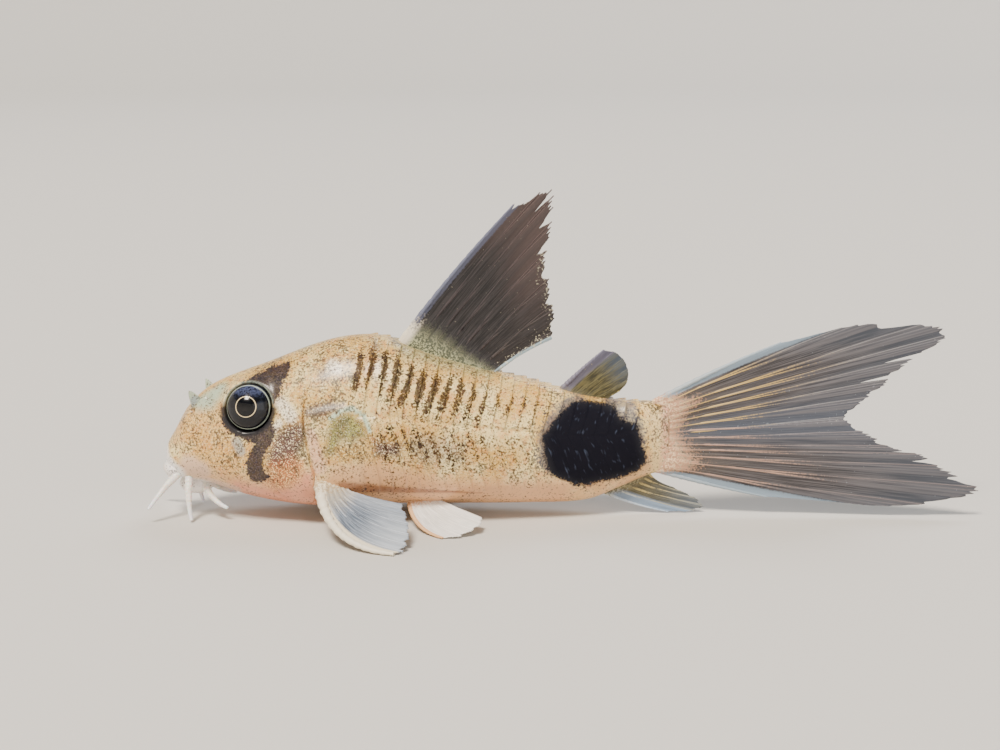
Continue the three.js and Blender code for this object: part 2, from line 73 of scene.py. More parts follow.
# The body's outlines against x, and the places of its scutes and gill.
body = {
    "back": [[0, 5.5], [0.65, 7.0], [1.95, 9.2], [3.8, 10.85], [8.6, 12.8], [12.7, 14.35], [15.5, 14.95],
             [18.2, 14.85], [20.9, 13.8], [25.8, 12.3], [30.5, 11.1], [34.5, 9.95], [38.2, 9.5], [41.2, 9.5]],
    "belly": [[0, 4.5], [0.4, 3.7], [1.6, 3.05], [3.8, 2.7], [7.4, 1.65], [12.2, 1.05], [20, 1.2], [30, 1.1],
              [34.5, 1.25], [37.2, 2.25], [39.7, 3.3], [41.2, 3.6]],
    "flank": [[0, 0.5], [0.65, 1.7], [1.95, 2.6], [5.3, 3.75], [9.3, 4.75], [14, 5.3], [19, 5.05], [27, 4.0],
              [34.8, 2.45], [39.5, 1.35], [41.2, 0.6]],
    "widest": [[0, 0.45], [4, 0.36], [12, 0.4], [20, 0.42], [34, 0.5], [41.2, 0.52]],
    "upperSquare": [[0, 2.1], [6, 2.0], [24, 2.0], [41.2, 2.1]],
    "lowerSquare": [[0, 2.1], [6, 2.3], [14, 2.7], [30, 2.6], [41.2, 2.1]],
    "lateralLine": 0.4,  # shares of the half turn from the back (0) to the belly (1)
    "upperEdge": 0.06,
    "lowerEdge": 0.72,
    "gill": [[-0.18, 12.1], [0, 12.6], [0.18, 12.1], [0.4, 11.6], [0.6, 12.5], [0.76, 12.4], [1, 10.6],
             [1.24, 12.4]],
    "gap": 0.3,
    "trunkStart": 12.9,
    "shoulderEnd": 16.5,
    "trunkEnd": 31.4,
    "scutesEnd": 39.9,
    "scutes": 23,
    "scuteBow": 0.22,
}


def curveAt(knots, v):  # a smooth line through knots
    xs, ys = np.array(knots, float).T
    v = np.asarray(v, float)
    middles = (ys[2:] - ys[:-2]) / (xs[2:] - xs[:-2])
    first, last = (ys[1] - ys[0]) / (xs[1] - xs[0]), (ys[-1] - ys[-2]) / (xs[-1] - xs[-2])
    slopes = np.concatenate([[first], middles, [last]])
    i = np.clip(np.searchsorted(xs, v) - 1, 0, len(xs) - 2)
    span = xs[i + 1] - xs[i]
    t = clamp01((v - xs[i]) / span)
    a = 2 * t**3 - 3 * t**2 + 1
    bendOut, bendIn = t**3 - 2 * t**2 + t, t**3 - t**2
    return a * ys[i] + (1 - a) * ys[i + 1] + span * (bendOut * slopes[i] + bendIn * slopes[i + 1])


lineNames = ("back", "belly", "flank", "widest", "upperSquare", "lowerSquare")
bodyLines = {name: [[math.sqrt(x), v] for x, v in body[name]] for name in lineNames}  # rounds off the snout


def lineAt(name, x):
    return curveAt(bodyLines[name], np.sqrt(np.maximum(x, 0)))


def sectionAt(x):  # the heights of the back, the belly and the widest place
    top, bottom = lineAt("back", x), lineAt("belly", x)
    middle = bottom + (top - bottom) * lineAt("widest", x)
    return top, bottom, middle


def skinPoint(x, turn):
    top, bottom, middle = sectionAt(x)
    angle = np.abs(turn) * math.pi
    upper = angle < math.pi / 2
    power = 2 / np.where(upper, lineAt("upperSquare", x), lineAt("lowerSquare", x))
    out = np.abs(np.sin(angle)) ** power * lineAt("flank", x)
    rise = np.abs(np.cos(angle)) ** power * np.where(upper, top - middle, bottom - middle)
    return np.stack(np.broadcast_arrays(x, np.sign(turn) * out, middle + rise), -1)


def skinNormal(x, turn):
    step = 0.02
    along = skinPoint(x + step, turn) - skinPoint(np.maximum(x - step, 0), turn)
    around = skinPoint(x, turn + step) - skinPoint(x, turn - step)
    n = np.cross(along, around)
    return n / np.maximum(np.linalg.norm(n, axis=-1, keepdims=True), 1e-9)


def turnOf(points):  # the share of the half turn at which a point near the skin lies
    x, y, z = points.T
    top, bottom, middle = sectionAt(x)
    upper = z > middle
    square = np.where(upper, lineAt("upperSquare", x), lineAt("lowerSquare", x))
    height = np.where(upper, top - middle, middle - bottom)
    across = (np.abs(y) / np.maximum(lineAt("flank", x), 0.05)) ** (square / 2)
    upDown = (np.abs(z - middle) / np.maximum(height, 0.05)) ** (square / 2)
    angle = np.arctan2(across, upDown)
    return np.where(upper, angle, math.pi - angle) / math.pi


def seatOn(x, z, side):  # a place on the skin and the way the skin faces there
    low, high = 0.0, 1.0
    for _ in range(30):
        half = (low + high) / 2
        if skinPoint(x, half)[2] > z:
            low = half
        else:
            high = half
    return skinPoint(x, side * low), skinNormal(x, side * low)


def gillX(share):  # share is how far round a place lies, from the back (0) to the belly (1)
    return curveAt(body["gill"], share)


def sweep(share):  # how far the scutes lean along the body
    up = -1.0 * share / body["lateralLine"]
    down = -1.0 + 2.0 * clamp01((share - body["lateralLine"]) / (body["lowerEdge"] - body["lateralLine"]))
    return np.where(share < body["lateralLine"], up, down)


def rounded(share):  # how far the hind edge of a scute bows back
    high = np.where(share < body["lateralLine"], body["upperEdge"], body["lateralLine"])
    low = np.where(share < body["lateralLine"], body["lateralLine"], body["lowerEdge"])
    inside = (share > body["upperEdge"]) & (share < body["lowerEdge"])
    return np.where(inside, body["scuteBow"] * np.sin(math.pi * clamp01((share - high) / (low - high))), 0)


def alongToX(u, share):  # where the body's own measure u lies at an angle round the body
    front = gillX(share) + body["gap"]
    start, end = body["trunkStart"], body["trunkEnd"]
    bulge = rounded(share) * smooth(u, start + 1, start + 2)
    trunkX = front + (end + sweep(share) - front) * (u - start) / (end - start) + bulge
    past = clamp01((u - end) / (bodyEnd - end))
    stemX = u + (sweep(share) + rounded(share)) * (1 - past**3)
    return np.where(u < end, trunkX, stemX)


def xToAlong(x, share):  # turns alongToX round, step by step
    u = x.copy()
    for _ in range(12):
        u = u + (x - alongToX(u, share))
    return u


# Helpers for meshes.

def setAttributes(piece, values):
    for key, v in values.items():
        old = piece.data.attributes.get(key)
        if old:
            piece.data.attributes.remove(old)
        piece.data.attributes.new(key, "FLOAT", "POINT").data.foreach_set("value", np.asarray(v, np.float32))


def meshFrom(name, points, faces, material, attributes=None):
    mesh = bpy.data.meshes.new(name)
    mesh.from_pydata(toFrame(points).tolist(), [], [list(map(int, f)) for f in faces])
    mesh.materials.append(material)
    mesh.shade_smooth()
    piece = bpy.data.objects.new(name, mesh)
    bpy.context.scene.collection.objects.link(piece)
    setAttributes(piece, attributes or {})
    return piece


def gridFaces(rows, columns, wrap=False):
    faces = []
    for r in range(rows - 1):
        for c in range(columns if wrap else columns - 1):
            n = (c + 1) % columns
            faces.append((r * columns + c, (r + 1) * columns + c, (r + 1) * columns + n, r * columns + n))
    return faces


def closedFaces(rings, around):  # rings of points, followed by one pole for the first ring and one for the last
    first, last = rings * around, rings * around + 1
    faces = gridFaces(rings, around, wrap=True)
    for c in range(around):
        n = (c + 1) % around
        faces += [(first, c, n), (last, (rings - 1) * around + n, (rings - 1) * around + c)]
    return faces


def faceOutwards(piece):
    bm = bmesh.new()
    bm.from_mesh(piece.data)
    bmesh.ops.recalc_face_normals(bm, faces=bm.faces)
    bm.to_mesh(piece.data)
    bm.free()


def placesOf(piece):
    co = np.zeros(len(piece.data.vertices) * 3, np.float32)
    piece.data.vertices.foreach_get("co", co)
    return (co.reshape(-1, 3).astype(float) - np.array([snoutX, 0, 0])) / mm


def bakeModifiers(piece):  # the result of the piece's modifiers as its plain mesh
    done = bpy.data.meshes.new_from_object(piece.evaluated_get(bpy.context.evaluated_depsgraph_get()))
    old = piece.data
    piece.modifiers.clear()
    piece.data = done
    bpy.data.meshes.remove(old)
    piece.data.shade_smooth()


def handOver(piece, slot, *replaced):
    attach(piece, "root")
    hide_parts(*replaced)


# Helpers for materials.

def toLinear(hexColor):
    values = [int(hexColor[i:i + 2], 16) / 255 for i in (1, 3, 5)]
    return tuple(v / 12.92 if v <= 0.04045 else ((v + 0.055) / 1.055) ** 2.4 for v in values) + (1.0,)


def node(tree, kind, settings=None, inputs=None):
    made = tree.nodes.new(kind)
    for key, value in (settings or {}).items():
        setattr(made, key, value)
    for key, value in (inputs or {}).items():
        if isinstance(value, bpy.types.Node):  # a node stands for its first output
            value = value.outputs[0]
        if isinstance(value, bpy.types.NodeSocket):
            tree.links.new(value, made.inputs[key])
        elif isinstance(value, str) and value.startswith("#"):
            made.inputs[key].default_value = toLinear(value)
        else:
            made.inputs[key].default_value = value
    return made


def finish(name, settings, noises=None, marks=()):
    # A material and its shader, with its patterns by name: noises by their real size in mm, detail and
    # roughness, and marks, which are attributes of the mesh.
    material = bpy.data.materials.new(name)
    material.use_nodes = True
    tree = material.node_tree
    shader = tree.nodes["Principled BSDF"]
    for key, value in settings.items():
        shader.inputs[key].default_value = value
    found = {}
    for key, (size, detail, roughness) in (noises or {}).items():
        place = node(tree, "ShaderNodeTexCoord").outputs["Object"]
        found[key] = node(tree, "ShaderNodeTexNoise", None, {
            "Vector": place, "Scale": 1 / (size * mm), "Detail": detail, "Roughness": roughness})
    for key in marks:
        found[key] = node(tree, "ShaderNodeAttribute", {"attribute_name": key}).outputs["Fac"]
    return material, tree, shader, found


def amountOf(tree, found, layer):
    # "on" plus the weighed "add" patterns, smoothed between the layer's edges where it has them (falling
    # where they are turned round), and then times its share
    amount = found[layer["on"]]
    for other, weight in layer.get("add", {}).items():
        amount = node(tree, "ShaderNodeMath", {"operation": "MULTIPLY_ADD"}, {
            0: found[other], 1: weight, 2: amount})
    soft = "edge" in layer
    low, high = layer.get("edge", (0.0, 1.0))
    kind = {"interpolation_type": "SMOOTHSTEP" if soft else "LINEAR", "clamp": soft}
    return node(tree, "ShaderNodeMapRange", kind, {
        "Value": amount, "From Min": low, "From Max": high, "To Max": layer.get("share", 1.0)})


def paint(tree, found, color, layers):
    # Lays each layer's colour over the last. "also" is a second amount that the first is multiplied by,
    # and "by" a pattern, its edges and the colour that it turns the layer to. A plain layer is a row of its
    # share, its colour and its "by".
    for name, layer in layers.items():
        if isinstance(layer, tuple):
            layer = dict(zip(("share", "color", "by"), layer))
        amount = amountOf(tree, found, {"on": name, **layer})
        if "also" in layer:
            second = amountOf(tree, found, layer["also"])
            amount = node(tree, "ShaderNodeMath", {"operation": "MULTIPLY"}, {0: amount, 1: second})
        tint = layer["color"]
        if "by" in layer:
            pattern, low, high, light = layer["by"]
            share = amountOf(tree, found, {"on": pattern, "edge": (low, high)})
            tint = node(tree, "ShaderNodeMix", {"data_type": "RGBA"}, {0: share, 6: tint, 7: light}).outputs[2]
        color = node(tree, "ShaderNodeMix", {"data_type": "RGBA"}, {0: amount, 6: color, 7: tint}).outputs[2]
    return color


# The skin: one closed surface over head, trunk and tail stem.

skinLook = {
    "around": 224,
    "headColumns": 120,
    "noseCrowding": 1.45,
    "scuteRise": 0.23,
    "seamDepth": 0.1,
    "plateRise": 0.24,
    "coverRise": 0.22,
    "creaseDepth": 0.12,
    "grooveDepth": 0.3,
}
eyeLook = {
    "x": 7.2, "z": 9.66, "radius": 1.85, "depth": 1.25, "sunk": 0.42, "sideways": 0.6, "lens": 0.1,
    "rings": 40, "around": 64, "cupEdge": (1.78, 2.02), "cupDepth": 1.5, "rimRadius": 2.12, "rimWidth": 0.3,
    "rimHeight": 0.13, "levelRadius": 2.1, "levelWidth": 0.75, "levelShare": 0.55,
}
nostrils = ((2.3, 9.0, 0.32, 0.35), (3.7, 10.1, 0.3, 0.3))  # x, z, width and depth


def eyeFrame(side):  # the eye's place on the skin, the way it looks, and its own across and up
    seat, facing = seatOn(eyeLook["x"], eyeLook["z"], side)
    facing = facing * (1 - eyeLook["sideways"]) + np.array([0, side, 0.12]) * eyeLook["sideways"]
    facing = facing / np.linalg.norm(facing)
    across = np.cross(facing, [0, 0, 1])
    across = across / np.linalg.norm(across)
    return seat, facing, across, np.cross(across, facing)


def ringsOfSkin():
    rings = []
    n = skinLook["headColumns"]
    for i in range(n + 1):
        rings.append(("head", (i / n) ** skinLook["noseCrowding"], 0, -1))
    for g in (0.2, 0.45, 0.7):
        rings.append(("groove", g, 0, -1))
    start, end = body["trunkStart"], body["shoulderEnd"]
    for i in range(28):
        rings.append(("trunk", start + (end - start) * i / 28, 0, -1))
    width = (body["scutesEnd"] - end) / body["scutes"]
    for k in range(body["scutes"]):
        for phase in (0.02, 0.16, 0.3, 0.45, 0.6, 0.75, 0.87, 0.93, 0.975):
            rings.append(("trunk", end + (k + phase) * width, phase, k))
    for i in range(10):
        rings.append(("trunk", body["scutesEnd"] + (bodyEnd - body["scutesEnd"]) * i / 9, 0, -1))
    return rings


def scuteBand(share):  # 1 on either row of scutes, 0 on the back, the seam and the belly
    edge, line = 0.012, body["lateralLine"]
    onUpper = smooth(share, body["upperEdge"], body["upperEdge"] + edge) * (1 - smooth(share, line - edge, line))
    onLower = smooth(share, line, line + edge) * (1 - smooth(share, body["lowerEdge"] - 0.07, body["lowerEdge"]))
    return onUpper + onLower


def buildSkin(material):
    around = skinLook["around"]
    turn = np.linspace(-1, 1, around, endpoint=False) + 1 / around
    share = np.abs(turn)
    wobble = np.random.default_rng(7).normal(0, 1, (body["scutes"] + 1, 3))
    onCover = smooth(share, 0.3, 0.42) - smooth(share, 0.74, 0.88)
    onGroove = smooth(share, 0.26, 0.36) - smooth(share, 0.9, 0.99)
    onPlate = smooth(share, 0.34, 0.39) - smooth(share, 0.64, 0.72)
    points = []
    for kind, u, phase, k in ringsOfSkin():
        if kind == "head":
            x = gillX(share) * u
            crease = bump(x, 9.2 + 1.2 * np.cos(7 * share), 0.3) * smooth(share, 0.36, 0.45)
            rise = onCover * (skinLook["coverRise"] * smooth(u, 0.8, 0.95) - skinLook["creaseDepth"] * crease)
        elif kind == "groove":
            x = gillX(share) + body["gap"] * u
            rise = -skinLook["grooveDepth"] * onGroove * math.sin(math.pi * min(u * 1.3, 1))
        elif k < 0:  # the shoulder plate, and the bare end of the stem
            x = alongToX(np.full(around, u), share)
            rise = skinLook["plateRise"] * onPlate * (1 - smooth(u, 16.2, 16.5))
        else:
            x = alongToX(np.full(around, u), share)
            height = skinLook["scuteRise"] * (1 + 0.1 * wobble[k, 0])
            profile = (0.12 + 0.88 * phase) * (1 if phase < 0.95 else 0.8)
            fade = smooth(u, 15.9, 17.2) * (1 - smooth(u, 38.6, 40.2))
            flat = skinPoint(x, turn)
            fade = fade * (1 - 0.85 * patchAt("blotch", flat[:, 0], flat[:, 2]))
            seam = bump(share, body["lateralLine"] + 0.004 * wobble[k, 1], 0.014)
            rise = (height * profile * scuteBand(share) - skinLook["seamDepth"] * seam) * fade
        points.append(skinPoint(x, turn) + skinNormal(x, turn) * rise[:, None])
    poles = np.array([[-0.12, 0, 5.0], [stemTip, 0, 6.5]])
    cloud = shapeHead(np.concatenate(points + [poles]))
    skin = meshFrom("skin", cloud, closedFaces(len(points), around), material)
    faceOutwards(skin)
    return skin


def shapeHead(cloud):  # sinks the eye cups behind a low rim, and dents the nostrils
    for side, label in sides:
        seat, facing, across, up = eyeFrame(side)
        away = cloud - seat
        depth = away @ facing
        r = np.hypot(away @ across, away @ up)
        near = (depth > -3) & (depth < 2) & (cloud[:, 1] * side > 0)
        cup = np.where(near, 1.0 - smooth(r, *eyeLook["cupEdge"]), 0)
        rim = np.where(near, bump(r, eyeLook["rimRadius"], eyeLook["rimWidth"]) * (1 - cup), 0)
        level = np.where(near, bump(r, eyeLook["levelRadius"], eyeLook["levelWidth"]) * (1 - cup), 0)
        move = cup * (-eyeLook["cupDepth"] - depth) + eyeLook["rimHeight"] * rim
        cloud = cloud + facing * (move - eyeLook["levelShare"] * level * (depth + 0.1))[:, None]
        for x, z, size, deep in nostrils:
            pit, inward = seatOn(x, z, side)
            pull = deep * np.exp(-((np.linalg.norm(cloud - pit, axis=1) / size) ** 2))
            cloud = cloud - inward * pull[:, None]
    return cloud


# Lips and nostril flaps, fused into the skin.

mouthLook = {
    "lips": (((0.75, 0, 3.95), (1.1, 1.75, 0.85)), ((2.35, 0, 2.6), (1.45, 1.35, 0.85))),  # middle and half sizes
    "lipRings": 28,
    "lipAround": 40,
    "flapHeight": 1.45,
    "flapWidth": 0.55,
    "flapRings": 12,
    "flapAround": 16,
    "flapPlaces": {-1: (2.75, 9.6), 1: (3.5, 9.9)},
}


def ballPoints(centre, halves, rings, around):
    v = np.linspace(0, math.pi, rings + 2)[1:-1]
    a = np.linspace(0, 2 * math.pi, around, endpoint=False)
    v, a = np.meshgrid(v, a, indexing="ij")
    grid = np.stack([np.cos(v), np.sin(v) * np.cos(a), np.sin(v) * np.sin(a)], -1).reshape(-1, 3)
    return np.concatenate([grid, [[1, 0, 0], [-1, 0, 0]]]) * np.array(halves) + np.array(centre)


def flapPoints(side):  # a pointed leaf that stands behind the nostril
    seat, facing = seatOn(*mouthLook["flapPlaces"][side], side)
    up = facing + np.array([-0.35, 0, 1.1])
    up = up / np.linalg.norm(up)
    across = np.cross(up, [0, side, 0.3])
    across = across / np.linalg.norm(across)
    thin = np.cross(up, across)
    points = []
    for r in range(mouthLook["flapRings"]):
        t = r / (mouthLook["flapRings"] - 1)
        wide = mouthLook["flapWidth"] * (1 - t) ** 0.65 + 0.03
        for c in range(mouthLook["flapAround"]):
            a = 2 * math.pi * c / mouthLook["flapAround"]
            points.append(seat + up * (t * mouthLook["flapHeight"] - 0.25)
                          + across * math.cos(a) * wide + thin * math.sin(a) * wide * 0.35)
    return points + [seat - up * 0.3, seat + up * (mouthLook["flapHeight"] - 0.2)]


def joinTo(base, part):
    faceOutwards(part)
    step = base.modifiers.new("join", "BOOLEAN")
    step.operation, step.solver, step.object = "UNION", "MANIFOLD", part
    bakeModifiers(base)
    bpy.data.objects.remove(part)


def addMouthAndNose(skin, material):
    rings, around = mouthLook["lipRings"], mouthLook["lipAround"]
    for centre, halves in mouthLook["lips"]:
        cloud = ballPoints(centre, halves, rings, around)
        joinTo(skin, meshFrom("lip", cloud, closedFaces(rings, around), material))
    faces = closedFaces(mouthLook["flapRings"], mouthLook["flapAround"])
    for side, label in sides:
        joinTo(skin, meshFrom("nostrilFlap", flapPoints(side), faces, material))


# Markings of the flank, alike on both sides, among them a painted shadow and painted highlights.

patches = {  # outlines in fish x and z, each with the width of its soft edge
    "mask": (0.35, [
        [(6.5, 11.4), (7.5, 12.0), (8.9, 12.65), (10.55, 13.2), (10.5, 12.4), (10.0, 11.6), (9.8, 10.7),
         (9.3, 9.9), (8.5, 10.8), (7.7, 11.2)],
        [(4.9, 8.95), (5.2, 8.0), (6.1, 7.4), (7.15, 7.0), (7.75, 6.9), (7.3, 6.2), (7.05, 5.3), (7.0, 4.35),
         (7.3, 3.75), (7.8, 3.5), (8.5, 3.8), (9.05, 4.15), (8.55, 4.6), (8.45, 5.2), (8.6, 6.1), (9.2, 7.0),
         (9.5, 7.7), (9.35, 8.4), (9.2, 8.8), (7.1, 9.15)]]),
    "blotch": (0.8, [
        [(30.8, 7.2), (31.9, 8.7), (33.3, 9.7), (35.2, 9.65), (36.6, 9.3), (37.3, 8.3), (38.5, 7.8), (39.3, 5.0),
         (38.8, 3.95), (37.7, 3.5), (33.9, 2.9), (31.6, 3.9), (31.0, 5.7)]]),
    "haze": (0.8, [
        [(30.2, 5.2), (30.6, 8.0), (32.4, 10.0), (34.0, 10.4), (34.0, 8.0), (31.5, 4.2)],
        [(36.2, 10.0), (38.6, 9.6), (39.2, 7.0), (38.9, 5.0), (36.5, 6.5)]]),
    "violet": (0.5, [
        [(9.5, 7.7), (10.5, 8.6), (11.8, 8.8), (12.1, 7.8), (11.5, 6.35), (10.8, 5.45), (9.45, 4.95),
         (8.9, 5.1), (8.9, 6.25)],
        [(17.3, 7.4), (19.6, 7.0), (19.4, 6.0), (17.5, 6.1)]]),
    "ember": (0.6, [[(8.4, 3.6), (9.0, 5.3), (10.9, 6.2), (11.9, 5.6), (11.2, 3.9), (9.4, 2.9)]]),
    "pink": (0.6, [
        [(6.0, 3.6), (7.6, 3.4), (9.3, 3.1), (10.7, 3.4), (11.7, 4.9), (12.6, 4.9), (12.8, 1.2),
         (10, 1.0), (7, 1.4), (5, 2.2)]]),
    "mint": (0.5, [
        [(1.5, 9.6), (1.6, 12.2), (4.4, 12.6), (5.3, 11.0), (4.9, 10.2), (4.2, 9.3), (3.3, 9.1), (2.5, 9.1)]]),
    "cloud": (0.4, [
        [(11.7, 9.55), (12.9, 10.2), (14.2, 10.4), (14.5, 9.7), (13.3, 9.15), (12.0, 9.1)],
        [(17.0, 14.7), (17.9, 14.5), (17.6, 14.0), (16.9, 14.2)],
        [(13.0, 12.5), (14.0, 12.6), (13.7, 12.1), (13.1, 12.1)]]),
    "green": (0.4, [
        [(13.9, 9.2), (15.1, 9.6), (16.4, 9.0), (16.8, 7.7), (15.6, 7.3), (14.9, 7.5), (14.1, 6.4),
         (13.5, 6.2), (13.7, 7.4)]]),
    "gold": (0.5, [[(14.3, 7.1), (16.4, 7.1), (16.6, 5.8), (14.5, 5.8)]]),
    "peach": (0.7, [
        [(14.0, 5.4), (17.4, 5.6), (19.8, 5.0), (24, 3.6), (33, 3.2), (33, 0.8), (14, 0.6), (12.9, 3.2)]]),
    "sheath": (0.5, [[(18.2, 15.2), (19.5, 13.6), (23, 12.5), (26.6, 11.6), (27.2, 12.2), (22, 14.2)]]),
    "greyFlank": (0.8, [[(20.4, 7.8), (24.5, 7.0), (24.6, 5.4), (21.5, 5.2), (20.2, 6.3)]]),
}
strokes = {  # soft lines: start, end and the radius at either
    "rim": [((13.9, 9.1), (14.8, 9.75), 0.14, 0.2), ((14.8, 9.75), (15.7, 9.9), 0.2, 0.2),
            ((15.7, 9.9), (16.6, 9.3), 0.2, 0.18), ((16.6, 9.3), (17.05, 8.1), 0.18, 0.14)],
    "pale": [((39.3, 9.4), (40.2, 8.0), 0.55, 0.6), ((40.2, 8.0), (40.5, 3.6), 0.6, 0.7)],
    # painted shadow along the lower flank by the pectoral fin's base, partly the belly's own brown
    "bellyBrownAndShadow": [((14.9, 3.5), (19.0, 3.1), 0.5, 0.3), ((19.0, 3.1), (26.0, 2.6), 0.3, 0.02)],
    "snout": [((1.4, 7.6), (4.2, 8.2), 1.5, 1.8), ((3.6, 6.0), (6.0, 5.6), 1.5, 1.3)],
    "blueGrey": [((6.3, 6.9), (6.6, 6.2), 0.45, 0.4), ((1.0, 8.1), (2.6, 9.9), 0.3, 0.3)],
    "bare": [((2.2, 4.6), (3.1, 4.3), 0.95, 0.85), ((3.2, 3.3), (6, 2.6), 0.5, 0.4)],
    "white": [((-0.3, 6.3), (-0.1, 5.0), 0.35, 0.55), ((-0.1, 4.9), (0.9, 3.7), 0.55, 0.85),
              ((0.2, 3.3), (1.6, 2.7), 0.8, 0.85), ((1.5, 2.8), (3.3, 2.4), 0.85, 0.8)],
    "shine": [((9.9, 10.1), (10.7, 9.2), 0.5, 0.55), ((14.0, 13.0), (14.4, 12.8), 0.5, 0.4),
              ((9.8, 8.6), (9.5, 8.2), 0.3, 0.3)],
    "tailPink": [((41.4, 9.3), (41.4, 3.7), 0.8, 0.8)],
    "gillPink": [((12.4, 8.0), (13.0, 5.2), 0.35, 0.6)],
}


def insideBy(x, z, outline):  # how deep a place lies within an outline, negative outside
    corners = np.array(outline, float)
    away = np.full(x.shape, 1e9)
    inside = np.zeros(x.shape, bool)
    for (ax, az), (bx, bz) in zip(corners, np.roll(corners, -1, 0)):
        ex, ez = bx - ax, bz - az
        t = clamp01(((x - ax) * ex + (z - az) * ez) / (ex * ex + ez * ez))
        away = np.minimum(away, np.hypot(x - ax - t * ex, z - az - t * ez))
        if ez != 0:
            inside ^= ((az > z) != (bz > z)) & (x < ax + (z - az) * ex / ez)
    return np.where(inside, away, -away)


def patchAt(name, x, z):
    soft, outlines = patches[name]
    return np.max([smooth(insideBy(x, z, one), -soft, soft) for one in outlines], axis=0)


def strokeAt(name, x, z, soft=0.4):
    values = np.zeros(x.shape)
    for start, end, startRadius, endRadius in strokes[name]:
        a, d = np.array(start), np.array(end) - np.array(start)
        t = clamp01(((x - a[0]) * d[0] + (z - a[1]) * d[1]) / (d @ d))
        away = np.hypot(x - a[0] - t * d[0], z - a[1] - t * d[1])
        radius = startRadius + (endRadius - startRadius) * t
        values = np.maximum(values, 1 - smooth(away, radius * (1 - soft), radius * (1 + soft)))
    return values


stripeLook = {"bow": 0.42, "wobble": 0.05, "middle": 0.62, "width": 0.27, "uneven": 0.09, "narrowing": 0.1,
              "breaksFrom": 20, "breaksTo": 30}


def stripesAt(u, share):  # the dark bands on the scutes: bold in front, broken up toward the tail
    width = (body["scutesEnd"] - body["shoulderEnd"]) / body["scutes"]
    scute = (u - body["shoulderEnd"]) / width
    number = np.clip(np.floor(scute).astype(int), 0, body["scutes"] - 1)
    vary = np.random.default_rng(11).random((body["scutes"], 3))[number].T
    row = np.where(share < body["lateralLine"], (share - 0.06) / 0.34, (share - 0.4) / 0.32)
    swing = stripeLook["bow"] * np.sin(math.pi * clamp01(row))
    swing = swing + stripeLook["wobble"] * np.sin(30 * share + 2.3 * number)
    bent = (scute - 0.02 - swing) % 1.0  # each band bows back in the middle of its scute
    wide = stripeLook["width"] + stripeLook["uneven"] * vary[1] - stripeLook["narrowing"] * smooth(u, 21, 30)
    band = 1 - smooth(np.abs(bent - stripeLook["middle"]), wide * 0.3, wide * 1.7)
    back = smooth(u, stripeLook["breaksFrom"], stripeLook["breaksTo"])
    upperStart = 0.1 + 0.05 * vary[0] + 0.04 * back
    upperEnd = np.where(number < 2, 0.3, 0.36) + stripeLook["uneven"] * vary[1] - 0.02 * back
    upper = smooth(share, upperStart, upperStart + 0.1) * (1 - smooth(share, upperEnd - 0.08, upperEnd + 0.03))
    lowerEnd = 0.5 + 0.07 * vary[2] + 0.04 * smooth(u, 20, 26)
    lower = smooth(share, 0.42, 0.44) * (1 - smooth(share, lowerEnd - 0.05, lowerEnd + 0.04))
    lower = lower * smooth(u, 17.5, 19)
    return band * (upper * (1 - 0.48 * back) + lower * 0.6 * (1 - 0.4 * back))


def markSkin(skin):
    places = placesOf(skin)
    x, y, z = places.T
    share = turnOf(places)
    u = xToAlong(x, share)
    marks = {name: patchAt(name, x, z) for name in patches}
    marks.update({name: strokeAt(name, x, z) for name in strokes})
    onScutes = smooth(u, 16.0, 16.4) * (1 - smooth(u, 39.2, 40))
    marks["share"], marks["along"] = share, u
    marks["stripe"] = onScutes * stripesAt(u, share)
    marks["nearBlotch"] = 0.6 * (marks["blotch"] + marks["haze"])
    marks["bellySide"] = smooth(share, 0.52, 0.68)
    marks["backSide"] = 1 - smooth(share, 0.08, 0.3)
    grains = 0.6 - 0.5 * smooth(share, 0.55, 0.75) + 0.2 * bump(x, 14.5, 3.5) * (share < 0.3)
    grains = grains - 0.16 * onScutes * (share < 0.45)
    for name, less in (("pink", 0.8), ("peach", 0.75), ("mint", 0.6)):
        grains = grains * (1 - less * marks[name])
    grains = grains * (1 - 0.9 * np.maximum(marks["bare"], marks["white"]))
    marks["grains"] = grains + 0.5 * marks["cloud"] + 0.25 * marks["sheath"] + 0.25 * marks["greyFlank"]
    for name in ("mint", "blueGrey"):  # these keep off the middle of the snout
        marks[name] = marks[name] * smooth(np.abs(y), 0.5, 1.5)
    # painted shade: near-black in the lower half of the gap round each eye, under the eyeball
    marks["socketShade"], marks["lid"] = np.zeros(len(x)), np.zeros(len(x))
    for side, label in sides:
        seat, facing, across, up = eyeFrame(side)
        away = places - seat
        r = np.hypot(away @ across, away @ up)
        down = -(away @ up) / np.maximum(r, 0.01)
        near = (np.sign(y) == side) & (r < 4)
        lid = bump(r, 2.03, 0.13) * (1 - 0.6 * smooth(down, -0.2, 0.2)) + 0.6 * (r < 1.92)
        marks["socketShade"] += np.where(near, (1 - smooth(r, 2.25, 2.5)) * smooth(down, -0.25, 0.1), 0)
        marks["lid"] += np.where(near, lid, 0)
    setAttributes(skin, marks)


